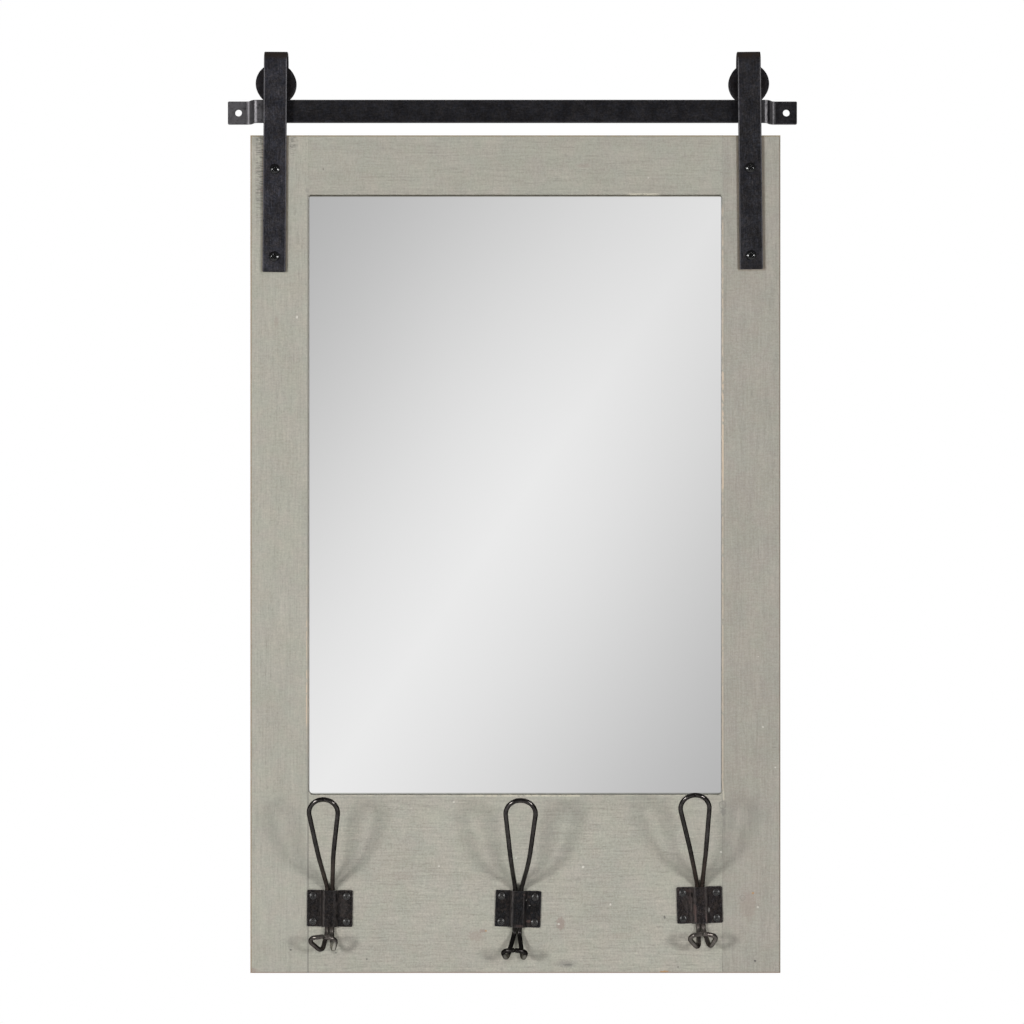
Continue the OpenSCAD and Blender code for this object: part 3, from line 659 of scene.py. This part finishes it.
def paint_marks(g, colour, at, name):
    """The chips, smudges, knots and saw cuts of one board."""
    ragged = g.noise(at, 1.4)
    for tone, centre, size, share in MARKS[name]:
        colour = g.over(colour, tone, g.blot(at, centre, size, ragged), share)
    for centre, size, share in KNOTS.get(name, []):
        colour = g.over(colour, SHADE, g.ring(at, centre, size, ragged), share)
    if name == "left_stile":
        colour = g.over(colour, DARK, saw_marks(g, at), 0.72)
    return colour


def painted_board(name):
    """Old greige paint on a board, and bare wood at its back."""
    tone, along, sawn = BOARDS[name]
    g = Graph("painted_" + name)
    at = g.place()
    x, y, z = g.axes(at)
    lengthways = g.join(x, y, z) if along == "Z" else g.join(z, y, x)
    # The board's tone carries painted shade, darker on the right stile and the top rail.
    colour = g.times(PAINT, tone)
    colour, relief = brushed_paint(g, colour, at, lengthways, sawn)
    colour = paint_marks(g, colour, at, name)
    colour = g.over(colour, PORE, joint_lines(g, at), 0.4)
    # Painted contact shadow on the wood beside the straps.
    colour = g.mix(strap_shadow(g, at), colour, g.times(colour, STRAP_SHADOW_TONE))
    colour = worn_edges(g, colour, at)
    colour = lip_shade(g, colour, at)
    raw, _ = bare_wood(g, lengthways)
    back = g.fade(g.normal()[1], 0.4, 0.6)
    return g.finish(Base_Color=g.mix(back, colour, raw), Roughness=0.62, Normal=relief)


def worn_edges(g, colour, at):
    """The panel's outer edges, chipped to the wood and darkened by handling. Behind the
    front edge the paint on its sides is worn only in places."""
    x, y, z = g.axes(at)
    chips = g.noise(at, (5, 5, 5), detail=4, roughness=0.65)
    rubs = g.fade(g.noise(g.vector("ADD", at, (0, 40, 0)), (14, 9, 30), detail=3), 0.54, 0.66)
    near = g.most(g.fade(y, FRONT_Y + 3.2, FRONT_Y + 1.4), g.product(rubs, 0.6))
    for axis, end, tone, share in EDGE_WEAR:
        value, limits = (x, PANEL_X) if axis == "x" else (z, PANEL_Z)
        inside = g.math("ABSOLUTE", g.minus(value, limits[end]))
        edge = g.fade(inside, 1.5, 0.5)
        shown = g.fade(chips, 0.86 - share, 1.02 - share)
        colour = g.over(colour, tone, edge, near, shown, 0.8)
    return colour


def strap_shadow(g, at):
    """Painted contact shadow, brownish, on the wood along both edges of the straps."""
    grime = []
    for side in SIDES:
        x, _, z = on_strap(g, at, side)
        left_reach, right_reach = STRAP_SHADOW_REACH[side]
        beside = g.product(g.fade(x, -STRAP_HALF - left_reach, -STRAP_HALF - 1.2),
                           g.fade(x, STRAP_HALF + right_reach, STRAP_HALF + 1.2))
        foot = STRAP_SCREWS_Z[side][1] - AXLE_Z - 11
        grime.append(g.product(beside, g.fade(z, foot - 4, foot)))
    return g.product(g.most(*grime), g.around(g.noise(at, 4, detail=3), 0.5))


def joint_lines(g, at):
    """The upright joints below the opening, which just show through the paint."""
    x, _, z = g.axes(at)
    gap = g.math("MINIMUM", g.math("ABSOLUTE", g.minus(x, OPEN_X[0])),
                 g.math("ABSOLUTE", g.minus(x, OPEN_X[1])))
    broken = g.fade(g.noise(g.vector("ADD", at, (9, 0, 4)), 16), 0.35, 0.6)
    return g.product(g.fade(gap, 0.5, 0.2), g.fade(z, OPEN_Z[0] + 1, OPEN_Z[0] - 1), broken)


# The opening's walls: their colour and its strength; painted shade on most, painted light on the
# lower one.
LIP_WALL_SHADE = {"left": ((0.10, 0.105, 0.085), 0.6), "right": ((0.10, 0.105, 0.085), 0.55),
            "foot": ((0.50, 0.50, 0.44), 0.6), "head": ((0.120, 0.108, 0.065), 0.72)}
# Painted shade on the glass beside them: its colour, its strength and how far it reaches.
GLASS_EDGE_SHADE = {"left": ((0.15, 0.16, 0.13), 0.3, 0.4), "right": ((0.19, 0.20, 0.17), 0.5, 0.8),
               "foot": ((0.30, 0.31, 0.27), 0.75, 1.4), "head": ((0.18, 0.16, 0.10), 0.72, 1.3)}
# Pale chips along the opening's front edge: colour, side, from, to, width, strength.
LIP_CHIPS = [
    (TAN, "left", -533, -486, 2.1, 0.8), (TAN, "left", -476, -440, 2, 0.5),
    (TAN, "left", -560, -395, 1.8, 0.3), (TAN, "right", -330, -225, 1.1, 1),
    (TAN, "right", -592, -84, 0.9, 0.6), (CREAM, "foot", -42, 60, 1.2, 0.8),
    (CREAM, "foot", -170, 178, 0.7, 0.4), (CREAM, "head", 100, 126, 1, 0.7),
]


def beyond_opening(g, at):
    """How far a place lies beyond each side of the opening."""
    x, _, z = g.axes(at)
    return {"left": g.minus(OPEN_X[0], x), "right": g.minus(x, OPEN_X[1]),
            "foot": g.minus(OPEN_Z[0], z), "head": g.minus(z, OPEN_Z[1])}


def lip_shade(g, colour, at):
    """Painted shade on the opening's inner walls, with painted light on the lower one, a painted
    shade line along its left edge, its chipped front edge and a crack.
    """
    x, y, z = g.axes(at)
    behind = g.fade(y, FRONT_Y + 0.05, FRONT_Y + 0.6)
    beyond = beyond_opening(g, at)
    # Painted shade on each wall, and painted light on the lower one.
    for side, (tone, share) in LIP_WALL_SHADE.items():
        wall = g.band(beyond[side], -0.3, 0.25, 0.1)
        colour = g.over(colour, tone, wall, behind, share)
    chipped = g.fade(g.noise(at, (3, 3, 5), detail=3, roughness=0.6), 0.36, 0.52)
    for tone, side, low, high, width, share in LIP_CHIPS:
        line = g.fade(beyond[side], width + 0.4, width - 0.2)
        along = g.band(z if side in SIDES else x, low, high, 4)
        inside = g.fade(beyond[side], -0.2, 0.0)
        colour = g.over(colour, tone, line, inside, along, chipped, share)
    # Painted shade: a dark line along the opening's left edge, below its head.
    arris = g.band(beyond["left"], -0.1, 1.2, 0.3)
    below_head = g.fade(z, OPEN_Z[1] + 1.5, OPEN_Z[1] - 0.5)
    colour = g.over(colour, PORE, arris, below_head, 0.75)
    crack = g.band(beyond["right"], 1.3, 1.9, 0.3)
    return g.over(colour, PORE, crack, g.band(z, *OPEN_Z, 3), 0.3)


HARDBOARD = (0.225, 0.135, 0.075)
DARK_FIBRE = (0.10, 0.055, 0.03)
RUBBER = (0.018, 0.018, 0.018)
DUST = (0.11, 0.105, 0.1)
SILVER = (0.9, 0.9, 0.9)


def dowel_wood():
    g = Graph("bare_wood")
    x, y, z = g.axes(g.place())
    colour, fibre = bare_wood(g, g.join(z, y, x), 0.4)
    return g.finish(Base_Color=colour, Roughness=0.6, Normal=g.bump(fibre, 0.05))


def pressed_board():
    """Hardboard: brown, with pressed fibres and a few darker flecks."""
    g = Graph("hardboard")
    at = g.place()
    fibre = g.noise(at, (0.9, 0.9, 2.2), detail=3, roughness=0.7, distortion=0.8)
    flecks = g.noise(at, 1.7, roughness=0.7)
    clouds = g.noise(at, 60, detail=3)
    colour = g.tint(HARDBOARD, g.around(fibre, 0.35))
    colour = g.over(colour, DARK_FIBRE, g.fade(flecks, 0.62, 0.72), 0.5)
    colour = g.tint(colour, g.around(clouds, 0.18))
    return g.finish(Base_Color=colour, Roughness=0.68, Normal=g.bump(fibre, 0.08))


def soft_rubber():
    g = Graph("black_rubber")
    at = g.place()
    fine = g.noise(at, 0.6, detail=3, roughness=0.7)
    dust = g.noise(at, 5, detail=3)
    colour = g.over(RUBBER, DUST, g.fade(dust, 0.45, 0.7), 0.3)
    return g.finish(Base_Color=colour, Roughness=0.75, Normal=g.bump(fine, 0.04))


def mirror_silver():
    """Silvered glass, dark only along the lip, where painted shade stands for its edge and the
    lip's reflection.
    """
    g = Graph("mirror_silver")
    at = g.place()
    haze = g.noise(at, 90)
    colour = g.tint(SILVER, g.around(haze, 0.006))
    # Painted shade along each side of the opening.
    for side, beyond in beyond_opening(g, at).items():
        tone, share, reach = GLASS_EDGE_SHADE[side]
        uneven = g.around(g.noise(at, 7, detail=3), 0.2)
        colour = g.over(colour, tone, g.fade(beyond, -reach - 0.4, 0.4 - reach), uneven, share)
    return g.finish(Base_Color=colour, Metallic=1.0, Roughness=0.0)


# -------------------- shapes

SCREW_SIDES = 48
DOME_RINGS = 16                     # rings from the middle of a screw's head to its rim
TUBE_SIDES = 24
BEND_STEP = 4                       # degrees between the rings of a wire's bend
QUARTER_TURN = [math.radians(a) for a in (0, 30, 60, 90)]


def new_object(name, data):
    item = bpy.data.objects.new(name, data)
    scene.collection.objects.link(item)
    return item


def dress(piece, name, body="mirror"):
    """The piece stands for the node called name, and moves with its body."""
    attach(piece, body)
    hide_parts(name)
    return piece


def paint(piece, material):
    if not piece.material_slots:
        piece.data.materials.append(material)
    for entry in piece.material_slots:
        entry.link = "OBJECT"
        entry.material = material


def eased(name, width, body="mirror", sharp=35):
    """The node again, with its sharp edges rounded to about width."""
    work = bmesh.new()
    work.from_mesh(nodes[name].data)
    bmesh.ops.remove_doubles(work, verts=work.verts, dist=0.001 * MM)
    bmesh.ops.dissolve_limit(work, angle_limit=math.radians(0.5), verts=work.verts,
                             edges=work.edges)
    piece = finished(name + "_eased", work)
    rounding = piece.modifiers.new("rounding", "BEVEL")
    rounding.limit_method = "ANGLE"
    rounding.angle_limit = math.radians(sharp)
    rounding.width = width * MM
    rounding.segments = 3
    rounding.miter_outer = "MITER_ARC"
    levels = piece.modifiers.new("level_faces", "WEIGHTED_NORMAL")
    levels.keep_sharp = True
    levels.weight = 100
    return dress(piece, name, body)


def circle(count):
    """The angles of count points round a circle."""
    return [2 * math.pi * k / count for k in range(count)]


def bridge(work, loops):
    """Faces between each ring of vertices and the next."""
    for low, high in zip(loops, loops[1:]):
        for k in range(len(low)):
            n = (k + 1) % len(low)
            work.faces.new((low[k], low[n], high[n], high[k]))


def finished(name, work):
    """A smooth object from the closed mesh in work."""
    bmesh.ops.recalc_face_normals(work, faces=work.faces)
    mesh = bpy.data.meshes.new(name)
    work.to_mesh(mesh)
    work.free()
    mesh.shade_smooth()
    return new_object(name, mesh)


def smooth(value, low, high):
    """0 at low, 1 at high, and smooth between; low may be the greater."""
    t = min(1, max(0, (value - low) / (high - low)))
    return t * t * (3 - 2 * t)


def screw_profile(screw):
    """Radius and height of each ring of a screw, from its dome to the shank's end."""
    radius, height, shank_r, shank = screw
    drop, rounding = 0.33 * height, 0.12 * radius
    dome_r, rim_z = radius - rounding, height - drop
    shares = [k / DOME_RINGS for k in range(1, DOME_RINGS + 1)]
    dome = [(dome_r * share, height - drop * share ** 2) for share in shares]
    rim = [(dome_r + rounding * math.sin(a), rim_z - rounding * (1 - math.cos(a)))
           for a in QUARTER_TURN[1:]]
    return dome + rim + [(radius, 0), (shank_r, 0), (shank_r, -shank)]


def cross_depth(screw, r, angle):
    """How far the pressed cross lies below the dome, at a radius and an angle from
    one of its arms. The shank's rings, hidden in the wood, shift by it too."""
    radius, height, _, _ = screw
    arm, half_w = 0.52 * radius, 0.15 * radius
    across = min(abs(r * math.cos(angle)), abs(r * math.sin(angle)))
    within = smooth(across, 1.3 * half_w, 0.75 * half_w)
    return 0.5 * height * within * smooth(r, 1.12 * arm, 0.9 * arm)


def cross_screws(name, screw, heads):
    """Screws with domed heads and a pressed cross, for the node called name. Each head
    is (matrix, turn of its cross); its base is at y = 0 and it looks along -Y."""
    work = bmesh.new()
    for put, turn in heads:
        def vertex(r, z, a):
            y = cross_depth(screw, r, a - turn) - z
            return work.verts.new(put @ Vector((r * math.cos(a), y, r * math.sin(a))) * MM)

        loops = [[vertex(r, z, a) for a in circle(SCREW_SIDES)] for r, z in screw_profile(screw)]
        middle = vertex(0, screw[1], 0)
        for k, corner in enumerate(loops[0]):
            work.faces.new((middle, loops[0][k - 1], corner))
        bridge(work, loops)
        work.faces.new(loops[-1])
    piece = finished(name + "_domed", work)
    piece.data.set_sharp_from_angle(angle=math.radians(50))
    return dress(piece, name)


def hook_bends(hook):
    """The wire's bends, from its end in front, round the left ear, over the loop and
    back round the right ear, each as (place, radius)."""
    shift = hook["shift"]
    knee_lean, bow, knee_z = hook["knee"]
    loop_lean, loop_z = hook["loop"]
    left_foot, left_corner, right_corner, right_foot, meet = hook["ears"]
    exit_x = WIRE_APART + hook["spread"]
    knee_x = exit_x + (LOOP_HALF - exit_x) * (knee_z - EXIT_Z) / (loop_z - EXIT_Z) + bow

    def half(side, foot, corner):
        """The bends of one side, from the wire's end to the top of the loop."""
        rows = [(meet[0] + side * END_GAP / 2, MEET_OUT, meet[1], 0),
                (corner[0], CORNER_OUT, corner[1], CORNER_R),
                (foot[0], FOOT_OUT, foot[1], FOOT_R),
                (shift + side * WIRE_APART, WIRE_OUT, EAR_START_Z, EAR_START_R),
                (shift + side * exit_x, WIRE_OUT, EXIT_Z, EXIT_R),
                (shift + knee_lean + side * knee_x, KNEE_OUT, knee_z, KNEE_R),
                (shift + loop_lean + side * LOOP_HALF, LOOP_OUT, loop_z, LOOP_R)]
        return [(Vector((x, -out, z)), radius) for x, out, z, radius in rows]

    return half(-1, left_foot, left_corner) + half(1, right_foot, right_corner)[::-1]


def rounded_run(bends):
    """Points and directions along straight runs joined by arcs."""
    places = [place for place, _ in bends]
    first = (places[1] - places[0]).normalized()
    run = [(places[0], first)]
    for before, (corner, radius), after in zip(places, bends[1:], places[2:]):
        u, v = (before - corner).normalized(), (after - corner).normalized()
        half = u.angle(v) / 2
        middle = corner + (u + v).normalized() * radius / math.sin(half)
        out = (corner + u * radius / math.tan(half) - middle) / radius
        turn = math.pi - 2 * half
        count = max(2, math.ceil(math.degrees(turn) / BEND_STEP))
        for k in range(count + 1):
            t = turn * k / count
            run.append((middle + radius * (math.cos(t) * out - math.sin(t) * u),
                        -math.sin(t) * out - math.cos(t) * u))
    last = (places[-1] - places[-2]).normalized()
    run.append((places[-1], last))
    return run


def with_round_ends(run, radius, soft):
    """Rings (place, direction, radius) along a run, whose ends are rounded by soft."""
    (start, first), (end, last) = run[0], run[-1]
    ease = [(soft * (1 - math.sin(a)), radius - soft * (1 - math.cos(a))) for a in QUARTER_TURN]
    rings = [(start + first * back, first, r) for back, r in reversed(ease)]
    rings += [(place, direction, radius) for place, direction in run[1:-1]]
    rings += [(end - last * back, last, r) for back, r in ease]
    return rings


def tube(name, rings):
    """A closed round tube through rings, carried along without twisting."""
    work = bmesh.new()
    normal = rings[0][1].orthogonal().normalized()
    loops = []
    for place, direction, radius in rings:
        normal = (normal - direction * normal.dot(direction)).normalized()
        across = direction.cross(normal)
        spokes = [math.cos(a) * normal + math.sin(a) * across for a in circle(TUBE_SIDES)]
        loops.append([work.verts.new((place + radius * spoke) * MM) for spoke in spokes])
    bridge(work, loops)
    work.faces.new(reversed(loops[0]))
    work.faces.new(loops[-1])
    return finished(name, work)


def hook_wire(name, hook):
    """The bent wire of one hook, in its place on the board."""
    put = hook_place(hook)
    run = with_round_ends(rounded_run(hook_bends(hook)), WIRE_R, WIRE_END)
    rings = [(put @ place, put.to_3x3() @ direction, radius) for place, direction, radius in run]
    wire = tube(name + "_bent", rings)
    wire.visible_glossy = False      # the mirror's lower edge stays clear of the loops
    return dress(wire, name)


# -------------------- pieces

# Screws: head radius, head height, shank radius, length of the shank.
STRAP_SCREW = (4.3, 3.0, 2.0, 15)
HOOK_SCREW = (3.05, 1.7, 1.5, 12)
HOOK_SCREWS_AT = [(-14.6, -11.5), (-14.6, 10.6), (14.6, -11.5), (14.6, 10.6)]
CROSS_TURNS = [math.radians(a) for a in (48, 38, 20, 60)]


def leaning(x, y, z, degrees):
    """Moves to a place, turned clockwise as seen from the front."""
    return Matrix.Translation((x, y, z)) @ Matrix.Rotation(math.radians(degrees), 4, "Y")


def hook_place(hook):
    x, z = hook["at"]
    return leaning(x, FRONT_Y, z, hook["tilt"])


bar_steel = dark_steel("bar_steel", (9, 0.7, 0.45), BAR_STEEL, rubbed=bar_highlights)
paint(eased("rail_bar", 0.35, "rail"), bar_steel)

for side in SIDES:
    strap_steel = dark_steel(side + "_strap_steel", (0.5, 0.7, 11), STRAP_STEEL[side],
                             rubbed=partial(strap_edge_highlights_and_wear, side),
                             detail=partial(strap_rust, side))
    paint(eased(side + "_strap", 0.35), strap_steel)
    wheel_steel = dark_steel(side + "_wheel_steel", (0.35, 0.5, 1), WHEEL_STEEL, rough=0.34,
                             lay=partial(turned_lay, side))
    paint(eased(side + "_wheel", 0.15, side + "_wheel", sharp=25), wheel_steel)
    paint(nodes[side + "_axle"], strap_steel)
    put = leaning(SIDES[side] * HANGER_X, 0, AXLE_Z, STRAP_LEAN[side])
    heads = [(put @ Matrix.Translation((0, STRAP_FRONT_Y, z - AXLE_Z)), turn)
             for z, turn in zip(STRAP_SCREWS_Z[side], CROSS_TURNS)]
    screws = cross_screws(side + "_strap_screws", STRAP_SCREW, heads)
    paint(screws, coated_screw(side + "_strap_screw", STRAP_SCREW_TONE, rough=0.17, worn=0))

zinc = zinc_plating()
for name in ("backing_clips", "clip_screws", "wheel_washers"):
    paint(nodes[name], zinc)

for name in BOARDS:
    paint(nodes[name], painted_board(name))

paint(nodes["frame_dowels"], dowel_wood())
paint(nodes["mirror_glass"], mirror_silver())
paint(nodes["mirror_backing"], pressed_board())
paint(nodes["wall_bumpers"], soft_rubber())

for key, hook in HOOKS.items():
    plate_steel = dark_steel(key + "_plate_steel", (0.7, 0.7, 3.0), PLATE_STEEL[key],
                             rough=0.42, rubbed=partial(plate_rims, key), brown=0.55,
                             detail=partial(plate_marks_and_highlights, key), uneven=1.9)
    paint(eased(key + "_hook_plate", 0.3), plate_steel)
    heads = [(hook_place(hook) @ Matrix.Translation((x, -PLATE_T, z)), turn)
             for (x, z), turn in zip(HOOK_SCREWS_AT, CROSS_TURNS)]
    screws = cross_screws(key + "_hook_screws", HOOK_SCREW, heads)
    paint(screws, coated_screw(key + "_plate_screw", PLATE_SCREW_TONE, rough=0.34, worn=0.6))
    paint(hook_wire(key + "_hook_wire", hook), wire_steel(key))

# -------------------- studio

VIEW_AT = (-0.35, -2600, -348.5)
LENS = 104.56
SENSOR = 36
LAMP_SIZE = 580
LAMPS = {"left_lamp": ((-1900, -2600, -160), 49), "right_lamp": ((1900, -2600, -160), 40)}
CARD_Y = -5200
CARD_HALF = (1100, 1500)
CARD_LEVELS = (0.95, 0.735, 0.455)  # on the diagonal, half way off it, and at the corners
CARD_LOSS = 0.085                   # how much less it gives towards its upper right
FLOOR_CORNER = (-6000, -6000, -1750)
FLOOR_SIDES = ((12000, 0, 0), (0, 10500, 0))


def make_camera():
    data = bpy.data.cameras.new("camera")
    data.lens = LENS
    data.sensor_width = SENSOR
    data.clip_start = 0.05
    camera = new_object("camera", data)
    camera.location = Vector(VIEW_AT) * MM
    camera.rotation_euler = (math.radians(90), 0, 0)
    scene.camera = camera


def softbox(name, at, power):
    """A square lamp that faces the middle of the object."""
    data = bpy.data.lights.new(name, "AREA")
    data.shape = "SQUARE"
    data.size = LAMP_SIZE * MM
    data.energy = power
    lamp = new_object(name, data)
    lamp.location = Vector(at) * MM
    lamp.rotation_euler = (MIDDLE * MM - lamp.location).to_track_quat("-Z", "Y").to_euler()


def make_world(soft, gloss, clear):
    """White to the eye, pale in mirrors and through glass (clear), and with plain
    levels for soft light and for what rough metal shows."""
    g = Graph("studio", world=True)
    scene.world = g.owner
    rays = g.add("LightPath").outputs
    level = soft
    for ray, target in (("Is Glossy Ray", gloss), ("Is Singular Ray", clear),
                        ("Is Transmission Ray", clear), ("Is Camera Ray", 1.0)):
        level = g.add("Mix", {0: rays[ray], 2: level, 3: target}).outputs[0]
    background = g.add("Background", {"Color": (1, 1, 1), "Strength": level})
    g.add("OutputWorld", {"Surface": background.outputs[0]})


def flat_sheet(name, corner, side, other):
    """A sheet from one corner and the two sides that leave it."""
    a, b, c = (Vector(v) * MM for v in (corner, side, other))
    mesh = bpy.data.meshes.new(name)
    mesh.from_pydata([a, a + b, a + b + c, a + c], [], [(0, 1, 2, 3)])
    piece = new_object(name, mesh)
    return piece


def reflector():
    """A card far behind the camera that only the mirror shows. It is brightest along
    one diagonal, which gives the mirror its pale band."""
    half_w, half_h = CARD_HALF
    card = flat_sheet("reflector_card", (-half_w, CARD_Y, MIDDLE.z - half_h),
                      (2 * half_w, 0, 0), (0, 0, 2 * half_h))
    g = Graph("reflector_card")
    x, _, z = g.axes(g.place())
    glass_y = box_mm("mirror_glass")[0].y
    reach = (2 * glass_y - CARD_Y - VIEW_AT[1]) / (glass_y - VIEW_AT[1])
    u = g.math("DIVIDE", x, (OPEN_X[1] - OPEN_X[0]) / 2 * reach)
    v = g.math("DIVIDE", g.minus(z, MIDDLE.z), (OPEN_Z[1] - OPEN_Z[0]) / 2 * reach)
    across = g.math("ABSOLUTE", g.minus(u, v))
    ramp = g.add("ValToRGB", {"Fac": g.math("DIVIDE", across, 2.0)})
    ramp.color_ramp.interpolation = "B_SPLINE"
    ramp.color_ramp.elements.new(0.5)
    for element, level in zip(ramp.color_ramp.elements, CARD_LEVELS):
        element.color = (level, level, level, 1)
    upper_right = g.fade(g.math("MULTIPLY", g.total(u, v), 0.5), 0.0, 1.0)
    seen = g.add("LightPath").outputs["Is Singular Ray"]
    strength = g.math("MULTIPLY_ADD", upper_right, -CARD_LOSS, 1.0)
    glow = g.add("Emission", {"Color": ramp.outputs[0], "Strength": strength})
    clear = g.add("BsdfTransparent")
    shown = g.add("MixShader", {0: seen, 1: clear.outputs[0], 2: glow.outputs[0]})
    paint(card, g.surface(shown))
    card.visible_camera = False
    card.visible_diffuse = False
    card.visible_shadow = False


def floor():
    ground = flat_sheet("floor", FLOOR_CORNER, *FLOOR_SIDES)
    g = Graph("pale_floor")
    cloth = g.add("BsdfDiffuse", {"Color": (0.8, 0.8, 0.8)})
    glow = g.add("Emission", {"Color": (1, 1, 1), "Strength": 0.55})
    rays = g.add("LightPath").outputs
    seen = g.math("MAXIMUM", rays["Is Camera Ray"], g.product(rays["Is Glossy Ray"], 0.5))
    lift = g.add("MixShader", {0: seen, 2: glow.outputs[0]})
    both = g.add("AddShader", {0: cloth.outputs[0], 1: lift.outputs[0]})
    paint(ground, g.surface(both))


make_camera()
make_world(soft=0.20, gloss=0.16, clear=0.8)
for name, (at, power) in LAMPS.items():
    softbox(name, at, power)
reflector()
floor()
scene.view_settings.view_transform = "Standard"
